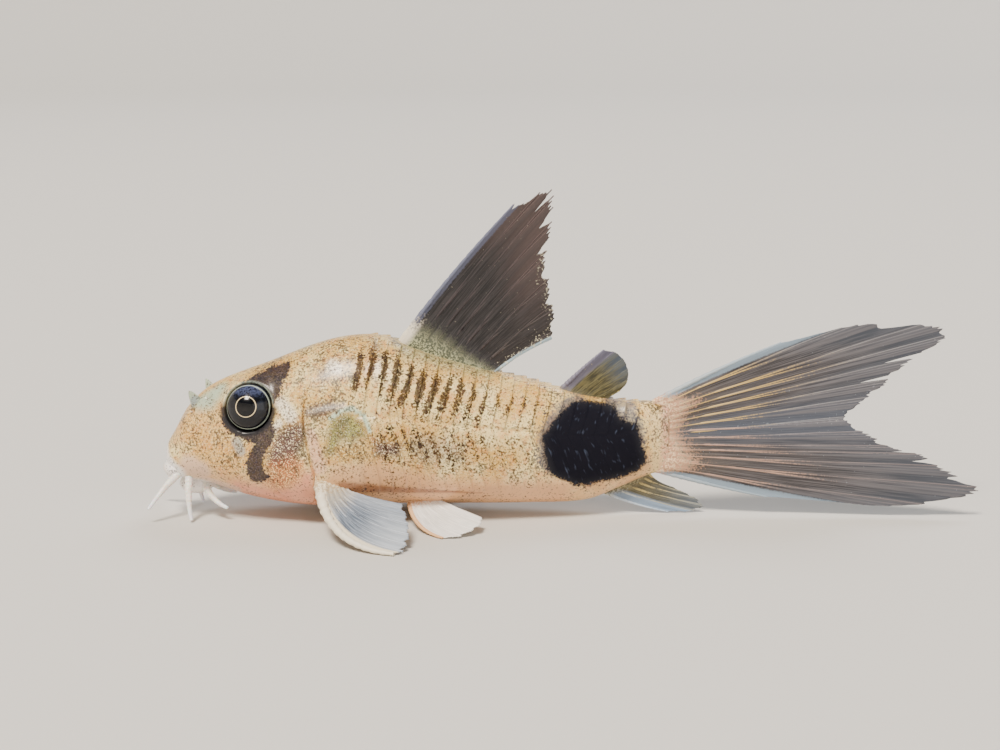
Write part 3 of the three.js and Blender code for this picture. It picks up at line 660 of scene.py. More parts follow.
# Noise runs round 0.5, so where "add" weighs it, the edges lie that much higher.
skinPaint = {
    "noises": {  # mm, detail, roughness; grains of pigment are 0.05 to 0.1 mm, too fine to show, so they are
        # drawn at 0.11 and 0.17 mm
        "dust": (0.11, 1.0, 0.55), "grain": (0.17, 2.0, 0.6), "fine": (0.34, 4.0, 0.55), "tint": (0.6, 2.0, 0.55),
        "clump": (1.1, 3.0, 0.55), "patchy": (1.3, 3.0, 0.55), "broad": (2.2, 3.0, 0.55)},
    "marks": [*patches, *strokes, "share", "along", "stripe", "nearBlotch", "bellySide", "backSide", "grains",
              "lid", "socketShade"],
    "flecksPer": (3.4, 15.0, 1.0),  # to the mm along the body, and to the half turn: about 0.3 by 0.8 mm
    "ground": "#cfa553",
    "layers": {
        "broad": {"edge": (0.35, 0.65), "color": "#f3dc9a"},
        "backSide": (0.45, "#bd9444"), "snout": (0.6, "#d3a052"),
        "tint": {"edge": (0.5, 0.68), "share": 0.5, "color": "#cf8540"},
        # the last on this row is painted shadow along the lower flank by the pectoral fin's base, partly the
        # belly's own brown
        "peach": (0.85, "#d9a677"), "bellySide": (0.6, "#ddab82"), "bellyBrownAndShadow": (0.8, "#936043"),
        "sheath": (0.7, "#96996f"), "greyFlank": (0.5, "#8f8578"), "pink": (0.7, "#df8f7c"),
        "gillPink": (0.6, "#e9b59f"), "pale": (0.8, "#efcf90"),
        "tailPink": (0.85, "#d9987f", ("fine", 0.4, 0.6, "#eac6a0")),
        "bare": (0.8, "#d9b9a2"), "mint": (0.75, "#9dbdb0"), "blueGrey": (0.7, "#8b98a0"),
        "shine": (0.7, "#fbf3e0"), "cloud": (0.75, "#66524a"), "white": (1.0, "#f1ebe6"),
        "gold": (0.8, "#a67c33", ("dust", 0.52, 0.64, "#e9c765")),
        "green": (0.9, "#26301c", ("grain", 0.42, 0.58, "#a9a955")),
        "rim": (0.8, "#b5d6c2"),
        "violet": (0.95, "#4c333d", ("dust", 0.54, 0.64, "#f3deb4")),
        "ember": (0.8, "#a4502f", ("dust", 0.5, 0.62, "#ffbc68")),
        "glints": {"on": "dust", "edge": (0.52, 0.64), "also": {"on": "grains"}, "share": 0.6,
                   "color": "#f6ecc6"},
        "mottle": {"on": "fine", "add": {"grains": 0.16}, "edge": (0.6, 0.74), "share": 0.5, "color": "#86643a"},
        "stripe": {"add": {"grain": 1.8, "fine": 1.2}, "edge": (1.7, 2.25), "share": 0.9,
                   "color": "#1d1413", "by": ("dust", 0.52, 0.64, "#5b4a40")},
        "soot": {"on": "grain", "add": {"clump": 0.55, "grains": 0.16}, "edge": (0.855, 0.995), "share": 0.75,
                 "color": "#4c3626", "by": ("clump", 0.5, 0.6455, "#241914")},
        "mask": {"add": {"grain": 0.9, "fine": 0.9}, "edge": (1.15, 1.65), "share": 0.94,
                 "color": "#17101b", "by": ("dust", 0.52, 0.64, "#43363f")},
        "nearBlotch": {"add": {"patchy": 0.8, "grain": 0.6, "fine": 0.6}, "edge": (1.1, 1.6), "share": 0.75,
                       "color": "#605f66"},
        "blotch": {"add": {"patchy": 0.56, "grain": 0.42, "fine": 0.42}, "edge": (0.9, 1.32),
                   "color": "#12121b", "by": ("fleck", 0.66, 0.88, "#3a4254")},
        # the last on this row is painted shade under each eyeball
        "lid": (0.75, "#a9b8aa"), "socketShade": (0.95, "#15131a"),
    },
    "wetToMatt": {"Roughness": (0.36, 0.66), "Coat Weight": (0.32, 0.02), "Specular IOR Level": (0.4, 0.08)},
}


def makeSkinFinish():
    # live fish skin: bony scutes under a clear wet film, which shines on the cream and is matt on the black
    material, tree, shader, found = finish("wetScuteSkin", {
        "IOR": 1.4, "Coat Roughness": 0.2, "Subsurface Weight": 0.06, "Subsurface Scale": 0.4 * mm,
        "Subsurface Radius": (1.0, 0.5, 0.3)}, skinPaint["noises"], skinPaint["marks"])
    # flecks in the blotch lie in rows that follow the scutes
    rows = node(tree, "ShaderNodeCombineXYZ", None, {0: found["along"], 1: found["share"]})
    rows = node(tree, "ShaderNodeVectorMath", {"operation": "MULTIPLY"}, {0: rows, 1: skinPaint["flecksPer"]})
    fleck = node(tree, "ShaderNodeTexNoise", None, {"Vector": rows, "Scale": 1.0, "Detail": 1.0})
    found["fleck"] = node(tree, "ShaderNodeMath", {"operation": "MULTIPLY_ADD"},
                          {0: found["grain"], 1: 0.12, 2: fleck})
    tree.links.new(paint(tree, found, skinPaint["ground"], skinPaint["layers"]), shader.inputs["Base Color"])
    stripe = amountOf(tree, found, {"on": "stripe", **skinPaint["layers"]["stripe"], "share": 1.0})
    matt = node(tree, "ShaderNodeMath", {"operation": "MAXIMUM"}, {0: found["blotch"], 1: stripe})
    for key, (wet, dry) in skinPaint["wetToMatt"].items():
        level = node(tree, "ShaderNodeMapRange", None, {"Value": matt, "To Min": wet, "To Max": dry})
        tree.links.new(level.outputs[0], shader.inputs[key])
    relief = node(tree, "ShaderNodeBump", None, {"Strength": 0.4, "Distance": 0.05 * mm, "Height": found["fine"]})
    tree.links.new(relief.outputs[0], shader.inputs["Normal"])
    return material


skinFinish = makeSkinFinish()
skin = buildSkin(skinFinish)
addMouthAndNose(skin, skinFinish)
markSkin(skin)
handOver(skin, "skin", "head", "trunk", "tail_stem")
print("skin", len(skin.data.polygons))


# The eyes: "ring" is the share of the radius from the middle, "sky" how far a place faces up; where it faces up
# the iris is painted bluer, a painted reflection of the sky.

eyePaint = {
    "fine": {"edge": (0.4, 0.65), "color": "#12151f"},
    # painted reflection of the sky on the upper part of the iris
    "sky": {"edge": (0.45, 0.95), "also": {"on": "fine", "edge": (0.3, 0.6)}, "share": 0.6, "color": "#545c80"},
    "pupil": {"on": "ring", "edge": (0.432, 0.408), "color": "#010206"},
    "goldRing": {"on": "ring", "edge": (0.416, 0.44), "also": {"on": "ring", "edge": (0.47, 0.446)},
                 "color": "#f0dcae"},
    "paleRing": {"on": "ring", "edge": (0.918, 0.942), "also": {"on": "ring", "edge": (0.977, 0.953)},
                 "share": 0.85, "color": "#b9c4b6"},
}


def makeEyeFinish():
    # wet cornea over a dark iris with a thin gold ring round the pupil and a pale ring at its edge
    material, tree, shader, found = finish("wetEye", {
        "Roughness": 0.2, "IOR": 1.36, "Specular IOR Level": 0.3, "Coat Weight": 0.45, "Coat Roughness": 0.04},
        {"fine": (0.2, 3.0, 0.55)}, ("ring", "sky"))  # fine: the cloudy grain of the iris
    tree.links.new(paint(tree, found, "#05060b", eyePaint), shader.inputs["Base Color"])
    return material


def buildEye(side, label, material):
    seat, facing, across, up = eyeFrame(side)
    middle = seat - facing * eyeLook["sunk"]
    rings, around = eyeLook["rings"], eyeLook["around"]
    cloud, ring, sky = [], [], []
    for r in range(rings):
        v = math.pi * (r + 0.5) / rings
        out, rise = eyeLook["radius"] * math.sin(v), eyeLook["depth"] * math.cos(v)
        share = math.sin(v) if v < math.pi / 2 else 1
        lens = eyeLook["lens"] * math.exp(-((share / 0.5) ** 4)) if v < math.pi / 2 else 0
        for c in range(around):
            a = 2 * math.pi * c / around
            cloud.append(middle + facing * (rise + lens) + across * out * math.cos(a) + up * out * math.sin(a))
            ring.append(share)
            sky.append(math.sin(a) * min(share * 1.3, 1))
    cloud += [middle + facing * (eyeLook["depth"] + eyeLook["lens"]), middle - facing * eyeLook["depth"]]
    attributes = {"ring": ring + [0, 1], "sky": sky + [0, 0]}
    ball = meshFrom(f"eyeball_{label}", cloud, closedFaces(rings, around), material, attributes)
    faceOutwards(ball)
    return ball


eyeFinish = makeEyeFinish()
for side, label in sides:
    handOver(buildEye(side, label, eyeFinish), "eye", f"eye_{label}")
print("eyes")


# Rays and feelers: tubes along lines, each point with its own radius, pinched at the joints.

def makeRayTree():
    tree = bpy.data.node_groups.new("jointedRays", "GeometryNodeTree")
    face = tree.interface
    face.new_socket("Geometry", in_out="INPUT", socket_type="NodeSocketGeometry")
    for name, kind, value in (("Thickness", "NodeSocketFloat", 1.0), ("Joint Length", "NodeSocketFloat", 0.0005),
                              ("Joint Depth", "NodeSocketFloat", 0.2), ("Sides", "NodeSocketInt", 8)):
        face.new_socket(name, in_out="INPUT", socket_type=kind).default_value = value
    face.new_socket("Finish", in_out="INPUT", socket_type="NodeSocketMaterial")
    face.new_socket("Geometry", in_out="OUTPUT", socket_type="NodeSocketGeometry")
    given = node(tree, "NodeGroupInput").outputs
    out = node(tree, "NodeGroupOutput")
    thick = node(tree, "GeometryNodeInputNamedAttribute", {"data_type": "FLOAT"}, {"Name": "thick"})
    along = node(tree, "GeometryNodeSplineParameter").outputs["Length"]
    joints = node(tree, "ShaderNodeMath", {"operation": "DIVIDE"}, {0: along, 1: given["Joint Length"]})
    within = node(tree, "ShaderNodeMath", {"operation": "PINGPONG"}, {0: joints, 1: 0.5})
    dip = node(tree, "ShaderNodeMapRange", {"interpolation_type": "SMOOTHSTEP"}, {
        "Value": within, "From Min": 0.0, "From Max": 0.16, "To Min": 1.0, "To Max": 0.0})
    cut = node(tree, "ShaderNodeMath", {"operation": "MULTIPLY"}, {0: dip, 1: given["Joint Depth"]})
    wide = node(tree, "ShaderNodeMath", {"operation": "SUBTRACT"}, {0: 1.0, 1: cut})
    for factor in (thick.outputs["Attribute"], given["Thickness"]):
        wide = node(tree, "ShaderNodeMath", {"operation": "MULTIPLY"}, {0: factor, 1: wide})
    curves = node(tree, "GeometryNodeMeshToCurve", None, {"Mesh": given["Geometry"]})
    profile = node(tree, "GeometryNodeCurvePrimitiveCircle", None, {"Resolution": given["Sides"], "Radius": 1.0})
    tube = node(tree, "GeometryNodeCurveToMesh", None, {
        "Curve": curves, "Profile Curve": profile, "Scale": wide, "Fill Caps": True})
    smoothTube = node(tree, "GeometryNodeSetShadeSmooth", None, {"Geometry": tube})
    real = node(tree, "GeometryNodeRealizeInstances", None, {"Geometry": smoothTube})
    dressed = node(tree, "GeometryNodeSetMaterial", None, {"Geometry": real, "Material": given["Finish"]})
    tree.links.new(dressed.outputs[0], out.inputs[0])
    return tree


rayTree = makeRayTree()


def tubesAlong(name, paths, material, settings):  # paths: (points in fish places, radii, more attributes)
    counts = [len(path[0]) for path in paths]
    starts = np.cumsum([0] + counts[:-1])
    edges = [(int(s + i), int(s + i + 1)) for s, n in zip(starts, counts) for i in range(n - 1)]
    lines = bpy.data.meshes.new(name)
    lines.from_pydata(toFrame(np.concatenate([path[0] for path in paths])).tolist(), edges, [])
    holder = bpy.data.objects.new(name, lines)
    bpy.context.scene.collection.objects.link(holder)
    values = {"thick": np.concatenate([path[1] for path in paths]) * mm}
    for key in paths[0][2]:
        values[key] = np.concatenate([path[2][key] for path in paths])
    setAttributes(holder, values)
    step = holder.modifiers.new("rays", "NODES")
    step.node_group = rayTree
    settings = {**settings, "Finish": material}
    for item in rayTree.interface.items_tree:
        if item.in_out == "INPUT" and item.name in settings:
            step[item.identifier] = settings[item.name]
    bakeModifiers(holder)
    return holder


# The fins.

# Tips run from the leading ray to the last, in x and z. A slit is its place and width in rays, and its
# depth between them as a share of the fin.
fins = {
    "dorsalFin": {
        "skinFinish": "smokyFinSkin", "rayFinish": "smokyFinRay", "ragged": 0.04,
        "slits": [(0.55, 0.02, 0.2), (1.5, 0.07, 0.12), (2.5, 0.05, 0.14), (3.5, 0.05, 0.16), (5.5, 0.03, 0.15)],
        "replaces": "dorsal_fin", "slot": "dark_fin", "rootFrom": 18.9, "rootTo": 26.4, "edge": "back",
        "sink": -0.7, "bow": (-0.35, 0.35), "lean": 0.5, "spine": 0.24, "ray": 0.17, "rootThick": 0.9,
        "tips": [(28.6, 25.7), (31.3, 26.9), (31.7, 25.9), (31.6, 23.7), (31.2, 21.3), (31.5, 19.0),
                 (31.9, 16.9), (31.7, 14.6)],
    },
    "adiposeFin": {
        "skinFinish": "fatFinSkin", "rayFinish": "fatFinRay", "ragged": 0.01,
        "replaces": "adipose_fin", "slot": "dark_fin", "rootFrom": 32.0, "rootTo": 35.6, "edge": "back",
        "sink": -0.6, "bow": (-0.1, 0.1), "lean": 0.2, "spine": 0.24, "ray": 0.06, "rootThick": 0.6,
        "tips": [(35.9, 13.75), (36.9, 13.5), (37.6, 12.8), (37.9, 11.9), (37.8, 11.0), (37.2, 10.25)],
    },
    "analFin": {
        "skinFinish": "oliveFinSkin", "rayFinish": "oliveFinRay",
        "replaces": "anal_fin", "slot": "clear_fin", "rootFrom": 35.4, "rootTo": 39.4, "edge": "belly",
        "sink": 0.6, "bow": (-0.5, -0.35), "lean": 0.6, "spine": 0.16, "ray": 0.13, "rootThick": 0.6,
        "tips": [(41.4, 0.12), (43.3, 0.12), (44.3, 0.5), (43.8, 1.1), (42.8, 1.6), (41.6, 2.1)],
    },
}
finBuild = {  # what a fin's own dictionary doesn't say; the splits are how far apart the branches run, in rays
    "perRay": 16, "rows": 64, "raySteps": 90, "raySides": 6, "forks": (0.35, 0.68), "splits": (0.17, 0.085),
    "ragged": 0.035, "slits": (), "thin": 0.1, "edgeThinning": 0.03, "wave": 0.04, "sag": 0.03, "spineTaper": 0.7,
    "rayTaper": 0.55, "scallops": 90, "scallopDepth": 0.1, "jointLength": 0.55, "jointDepth": 0.16,
}


def bezier(root, tip, bow, t):
    middle = (np.array(root) + np.array(tip)) / 2 + np.array(bow)
    t = np.asarray(t)[..., None]
    return (1 - t) ** 2 * np.array(root) + 2 * t * (1 - t) * middle + t**2 * np.array(tip)


def medianRays(look):
    made = []
    count = len(look["tips"])
    for i, (x, z) in enumerate(look["tips"]):
        share = i / (count - 1)
        rootX = look["rootFrom"] + (look["rootTo"] - look["rootFrom"]) * share
        root = (rootX, 0, float(lineAt(look["edge"], rootX)) + look["sink"])
        made.append((root, (x, look["lean"] * (share - 0.3), z), (look["bow"][0], 0, look["bow"][1])))
    return made


def tailRays(look):
    made = []
    rootX = bodyEnd - 1.8
    for i, (x, z) in enumerate(look["tips"]):
        share = i / (len(look["tips"]) - 1)
        reach = (x - rootX) / 20
        out = look["lean"] * (1 - share**2) + look["meet"] * share**2  # the two lobes meet at the fork
        root = (rootX, 0, look["rootFrom"] + (look["rootTo"] - look["rootFrom"]) * share)
        made.append((root, (x, out * reach, z), (0, -0.1 * out, look["bow"] * (1 - share))))
    return made


def pairedRays(look, side):
    made = []
    flip = np.array([1, side, 1])
    for i, tip in enumerate(look["tips"]):
        share = i / (len(look["tips"]) - 1)
        root, bow = ((1 - share) * np.array(first) + share * np.array(last) for first, last in (
            look["roots"], look["bows"]))
        made.append((root * flip, np.array(tip) * flip, bow * flip))
    return made


def between(rays, a, t):  # places on the fin: a counts the rays (0 the first), t runs from root to tip
    last = len(rays) - 1
    a = np.asarray(a, float)
    i = np.clip(np.floor(a).astype(int), 0, last - 1)
    f = (a - i)[..., None]
    curves = np.stack([bezier(*ray, t) for ray in rays])
    steps = np.arange(len(i))
    p0, p1, p2, p3 = (curves[np.clip(i + k, 0, last), steps] for k in (-1, 0, 1, 2))
    p0 = np.where((i == 0)[..., None], 2 * p1 - p2, p0)
    p3 = np.where((i == last - 1)[..., None], 2 * p2 - p1, p3)
    square, cube = 2 * p0 - 5 * p1 + 4 * p2 - p3, 3 * p1 - p0 - 3 * p2 + p3
    return 0.5 * (2 * p1 + (p2 - p0) * f + square * f**2 + cube * f**3)


def branches(count, look):  # the first ray is a spine, and each other one forks twice: its place across at t
    (fork, nextFork), (split, nextSplit) = look["forks"], look["splits"]

    def pathOf(i, side, nextSide):
        def path(t):
            away = side * split * smooth(t, fork - 0.15, fork + 0.35)
            away = away + nextSide * nextSplit * smooth(t, nextFork - 0.1, nextFork + 0.25)
            if i < count - 1:
                return i + away
            return i + 0.5 * away - 0.13 * smooth(t, fork - 0.15, 1)  # the last ray's stay inside the fin
        return path

    forked = [pathOf(i, a, b) for i in range(1, count) for a, b in ((-1, -1), (-1, 1), (1, -1), (1, 1))]
    return [lambda t: np.full_like(t, 0.0)] + forked


def finPlaces(toTip, across, overRay):  # the attributes that the fin finishes read
    corner = smooth(toTip, 0.86, 1.0) * smooth(across, 0.35, 0.6)
    margin = np.maximum(smooth(across, 0.86, 1.0), corner)
    return {"toTip": toTip, "across": across, "overRay": overRay, "margin": margin}


def buildFin(name, look, rays, seed):
    look = {**finBuild, **look}
    rng = np.random.default_rng(seed)
    count, fork, ragged = len(rays), look["forks"][0], look["ragged"]
    across = np.linspace(0, count - 1, (count - 1) * look["perRay"] + 1)
    t = np.linspace(0, 1, look["rows"] + 1)
    paths = branches(count, look)
    ends = np.array([path(np.array([1.0]))[0] for path in paths])
    reach = np.ones(len(across))  # the ragged edge: the skin stops short between the ends of the branches
    for j, a in enumerate(across):
        reach[j] = 1 - ragged * min(np.min(np.abs(ends - a)) / 0.12, 1) - ragged * 0.6 * rng.random()
        for place, depth, width in look["slits"]:
            reach[j] -= depth * max(0, 1 - abs(a - place) / width)
    grid = np.stack([between(rays, np.full(len(t), a), t * reach[j]) for j, a in enumerate(across)])
    normal = np.cross(np.gradient(grid, axis=0), np.gradient(grid, axis=1))
    normal /= np.maximum(np.linalg.norm(normal, axis=-1, keepdims=True), 1e-9)
    wide, long = grid.shape[:2]
    tip = np.broadcast_to(t, (wide, long))
    wave = look["wave"] * np.cos(2 * math.pi * across)[:, None] * (1 - 0.5 * tip)
    thick = look["thin"] + look["rootThick"] * (1 - smooth(tip, 0.04, 0.26)) + wave
    thick = thick - look["edgeThinning"] * smooth(tip, 0.7, 1)
    sag = look["sag"] * np.sin(2 * math.pi * across)[:, None] * smooth(tip, 0.2, 0.9)
    front = grid + normal * (thick / 2 + sag)[..., None]
    back = grid - normal * (thick / 2 - sag)[..., None]
    cloud = np.concatenate([front.reshape(-1, 3), back.reshape(-1, 3)])
    cloud[:, 2] = np.maximum(cloud[:, 2], 0.02)  # nothing goes below the floor
    half = wide * long
    faces = gridFaces(wide, long)
    faces += [tuple(half + v for v in reversed(f)) for f in faces]
    rim = [(c, 0) for c in range(wide)] + [(wide - 1, r) for r in range(1, long)]
    rim += [(c, long - 1) for c in range(wide - 2, -1, -1)] + [(0, r) for r in range(long - 2, 0, -1)]
    for (c, r), (c2, r2) in zip(rim, rim[1:] + rim[:1]):
        faces.append((c * long + r, c2 * long + r2, half + c2 * long + r2, half + c * long + r))
    overRay = np.zeros((wide, long))  # 1 in the skin right over a branch
    for path in paths:
        overRay = np.maximum(overRay, 1 - np.abs(across[:, None] - path(t)[None, :]) / 0.1)
    places = finPlaces(tip, np.repeat(across / (count - 1), long).reshape(wide, long), overRay)
    attributes = {key: np.tile(v.reshape(-1), 2) for key, v in places.items()}
    membrane = meshFrom(name, cloud, faces, finDress[look["skinFinish"]], attributes)
    faceOutwards(membrane)
    tubes = []
    s = np.linspace(0.0, 0.995, look["raySteps"])
    for k, path in enumerate(paths):
        a = np.clip(path(s), 0, count - 1)
        if k == 0:
            scallop = 1 + look["scallopDepth"] * np.sin(s * look["scallops"])
            radius = look["spine"] * (1 - look["spineTaper"] * s) * scallop
            end = 0.995
        else:
            stout = 0.35 * (1 - smooth(s, fork - 0.1, fork + 0.15)) + 0.65
            radius = look["ray"] * stout * (1 - look["rayTaper"] * s)
            end = float(np.interp(ends[k], across, reach)) + ragged * 0.3 * rng.random()
        points = between(rays, a, s * end)
        points[:, 2] = np.maximum(points[:, 2], radius + 0.01)
        tubes.append((points, radius, finPlaces(s, a / (count - 1), np.ones(len(s)))))
    extra = tubesAlong(name + "Rays", tubes, finDress[look["rayFinish"]], {
        "Joint Length": look["jointLength"] * mm, "Joint Depth": look["jointDepth"], "Sides": look["raySides"]})
    print(name, len(membrane.data.polygons), len(extra.data.polygons))
    both = [membrane, extra]
    with bpy.context.temp_override(active_object=membrane, selected_editable_objects=both, selected_objects=both):
        bpy.ops.object.join()
    return membrane


# Fin finishes. With a colour go its share and then its edges: "glow" and "root" run from the root to the tip,
# "front" from the leading edge back, and the last number of "sparkle" gathers it at the margin. "streaks" is
# how many streaks of pigment lie side by side in the fin, each about 0.1 to 0.2 mm wide.
paleFin = {"streaks": 60, "sparkle": ("#ffffff", 0.3, 0.0)}
whiteFin = {**paleFin, "inner": ("#ffffff", 0.3), "root": ("#d6a77e", "#f0d6b4", 0.05, 0.2)}
fatFin = {"streaks": 40, "root": ("#6e6650", "#c2b489", 0.02, 0.2), "sparkle": ("#d8c77e", 0.8, 0.1)}
finFinishes = {
    "smokyFinSkin": {
        "streaks": 90, "dark": "#0f0d10", "light": "#2d292b", "tip": ("#493b39", 0.8), "inner": ("#2a2322", 0.4),
        "front": ("#484b5e", 0.05), "root": ("#4d5140", "#b3b48c", 0.06, 0.2), "sparkle": ("#b9b39c", 0.7, 0.17),
        "rootWhite": 0.9, "hindEdge": 0.7},
    "smokyFinRay": {
        "streaks": 120, "dark": "#1d191c", "light": "#3a3335", "tip": ("#5e4b48", 0.9), "inner": ("#40372f", 0.5),
        "front": ("#6c7188", 0.045), "root": ("#5c604b", "#d0cca4", 0.06, 0.2), "sparkle": ("#d6d0b6", 0.7, 0.17),
        "rootWhite": 0.9, "hindEdge": 0.8},
    "fatFinSkin": {
        **fatFin, "dark": "#34321f", "light": "#625b38", "tip": ("#414a55", 1.0), "inner": ("#4a4630", 0.4),
        "front": ("#585567", 0.2)},
    "fatFinRay": {
        **fatFin, "dark": "#45432f", "light": "#7a7046", "tip": ("#5a6470", 1.0), "inner": ("#5a5640", 0.4),
        "front": ("#747189", 0.2)},
    "greyFinSkin": {
        "streaks": 110, "dark": "#2c292c", "light": "#5b5759", "tip": ("#3f4753", 0.6), "inner": ("#47505f", 0.7),
        "glow": ("#6a5a46", 0.35, 0.05, 0.4), "front": ("#8496a6", 0.1), "root": ("#b98d70", "#e9c9a0", 0.1, 0.2),
        "sparkle": ("#c9d2dc", 0.3, 0.05), "ray": ("#615e62", 0.8), "rayGlow": ("#e3bd63", 0.8)},
    "goldenFinRay": {
        "streaks": 140, "dark": "#5d5654", "light": "#85807e", "tip": ("#6b7482", 0.6), "inner": ("#76808f", 0.7),
        "glow": ("#e0bb62", 0.95, 0.3, 0.75), "front": ("#a3b5c2", 0.08),
        "root": ("#cf9a7c", "#f3d2a6", 0.08, 0.18),
        "sparkle": ("#e6e2cc", 0.6, 0.04)},
    "roseFinRay": {
        "streaks": 140, "dark": "#5a4f4e", "light": "#7b6f6d", "tip": ("#66646c", 0.6), "inner": ("#7a808c", 0.7),
        "glow": ("#d0a286", 0.8, 0.15, 0.6), "front": ("#93a5b2", 0.05),
        "root": ("#cb8f7c", "#f0bfa8", 0.08, 0.18),
        "sparkle": ("#e0d8cc", 0.5, 0.04)},
    "oliveFinSkin": {
        "streaks": 70, "dark": "#35362f", "light": "#66655a", "tip": ("#58616c", 0.7), "inner": ("#4c4a40", 0.5),
        "glow": ("#6e6238", 0.4, 0.2, 0.7), "front": ("#7f93ab", 0.3), "root": ("#55503a", "#a3946a", 0.1, 0.3),
        "sparkle": ("#d8dfe6", 0.6, 0.0)},
    "oliveFinRay": {
        "streaks": 70, "dark": "#75705a", "light": "#9a9272", "tip": ("#8b96a2", 0.7), "inner": ("#7a7560", 0.5),
        "glow": ("#cdb468", 0.9, 0.3, 0.8), "front": ("#b5c7da", 0.25), "root": ("#7c744f", "#c3b078", 0.1, 0.3),
        "sparkle": ("#eef2f5", 0.6, 0.0)},
    "milkyFinSkin": {
        **paleFin, "dark": "#4d5a6b", "light": "#8792a1", "tip": ("#b4bcc6", 0.8), "inner": ("#b7bec8", 0.4),
        "glow": ("#d8c8a8", 0.6, 0.1, 0.4), "front": ("#efe2c6", 0.16), "root": ("#a8906a", "#e9d9b4", 0.05, 0.2)},
    "milkyFinRay": {
        **paleFin, "dark": "#6f7f96", "light": "#a3aebd", "tip": ("#d3d9e0", 0.9), "inner": ("#8a97a8", 0.4),
        "glow": ("#e2d2b0", 0.85, 0.1, 0.45), "front": ("#f3e9d2", 0.1),
        "root": ("#b8a07a", "#efe0bc", 0.05, 0.2)},
    "whiteFinSkin": {
        **whiteFin, "dark": "#d9d6d0", "light": "#f3efe8", "tip": ("#f5f3ef", 0.5), "front": ("#e2a45e", 0.06)},
    "whiteFinRay": {
        **whiteFin, "dark": "#e6e3de", "light": "#f9f6f1", "tip": ("#f8f6f2", 0.5), "front": ("#e8b06c", 0.05)},
}
finFinishes["roseFinSkin"] = {
    **finFinishes["greyFinSkin"], "ray": ("#615e62", 0.65), "rayGlow": ("#d6a98c", 0.65)}


def finLayers(look):
    grainShare = 0.25  # how far the grain roughens an edge; noise runs round 0.5, so the edge moves out by half
    shift = grainShare / 2
    rootward = {"on": "toTip", "add": {"grain": grainShare}}
    glow, glowShare, glowFrom, glowTo = look.get("glow", (look["dark"], 0.0, 0.0, 0.1))
    ray, rayShare = look.get("ray", (look["light"], 0.35))
    rayGlow, rayGlowShare = look.get("rayGlow", (glow, 0.0))
    front, frontEnd = look["front"]
    rootDark, rootLight, rootFrom, rootTo = look["root"]
    sparkle, sparkleShare, gathered = look["sparkle"]
    layers = {
        "light": {"on": "streak", "edge": (0.38, 0.64), "color": look["light"]},
        "tip": {"on": "toTip", "edge": (0.5, 0.95), "also": {"on": "across", "edge": (1.0, 0.5)},
                "share": look["tip"][1], "color": look["tip"][0]},
        "inner": {"on": "across", "edge": (0.6, 1.0), "share": look["inner"][1], "color": look["inner"][0]},
        "glow": {**rootward, "edge": (glowTo + shift, glowFrom + shift), "share": glowShare, "color": glow},
        "ray": {"on": "overRay", "edge": (0.2, 0.8), "share": rayShare, "color": ray},
        "rayGlow": {"on": "overRay", "edge": (0.2, 0.8), "share": rayGlowShare, "color": rayGlow,
                    "also": {"on": "toTip", "add": {"grain": 0.375}, "edge": (0.7875, 0.5275)}},
        "front": {"on": "across", "add": {"grain": 0.03}, "edge": (frontEnd + 0.015, frontEnd * 0.7 + 0.015),
                  "share": 0.85, "color": front},
        "root": {**rootward, "edge": (rootTo + shift, rootFrom + shift), "color": rootDark,
                 "by": ("grain", 0.44, 0.6, rootLight)},
        "rootWhite": {"on": "across", "edge": (0.1, 0.03), "share": look.get("rootWhite", 0.0),
                      "color": "#efe4cf", "also": {**rootward, "edge": (0.22 + shift, 0.1 + shift)}},
        "hindEdge": {"on": "across", "edge": (0.975, 0.99), "share": look.get("hindEdge", 0.0),
                     "color": "#a9c0cc"},
        "sparkle": {"on": "grain", "add": {"margin": gathered}, "edge": (0.71, 0.8), "share": sparkleShare,
                    "color": sparkle},
    }
    return {name: layer for name, layer in layers.items() if layer.get("share", 1.0) > 0}


def makeFinFinish(name, look):
    # thin fin skin over rays, matt and cloudy, streaked from root to tip where the pigment lies
    material, tree, shader, found = finish(name, {
        "Roughness": 0.55, "IOR": 1.4, "Coat Weight": 0.12, "Coat Roughness": 0.3},
        {"grain": (0.17, 2.0, 0.55)},  # pigment grains, drawn as coarse as on the skin to show
        ("toTip", "across", "overRay", "margin"))
    spread = node(tree, "ShaderNodeCombineXYZ", None, {0: found["across"], 1: found["toTip"]})
    spread = node(tree, "ShaderNodeVectorMath", {"operation": "MULTIPLY"}, {
        0: spread, 1: (look["streaks"], 5.0, 1.0)})
    found["streak"] = node(tree, "ShaderNodeTexNoise", None, {
        "Vector": spread, "Scale": 1.0, "Detail": 3.0})
    tree.links.new(paint(tree, found, look["dark"], finLayers(look)), shader.inputs["Base Color"])
    relief = node(tree, "ShaderNodeBump", None, {
        "Strength": 0.5, "Distance": 0.05 * mm, "Height": found["streak"]})
    tree.links.new(relief.outputs[0], shader.inputs["Normal"])
    return material


finDress = {name: makeFinFinish(name, look) for name, look in finFinishes.items()}
for seed, (name, look) in enumerate(fins.items(), 3):
    handOver(buildFin(name, look, medianRays(look), seed), look["slot"], look["replaces"])

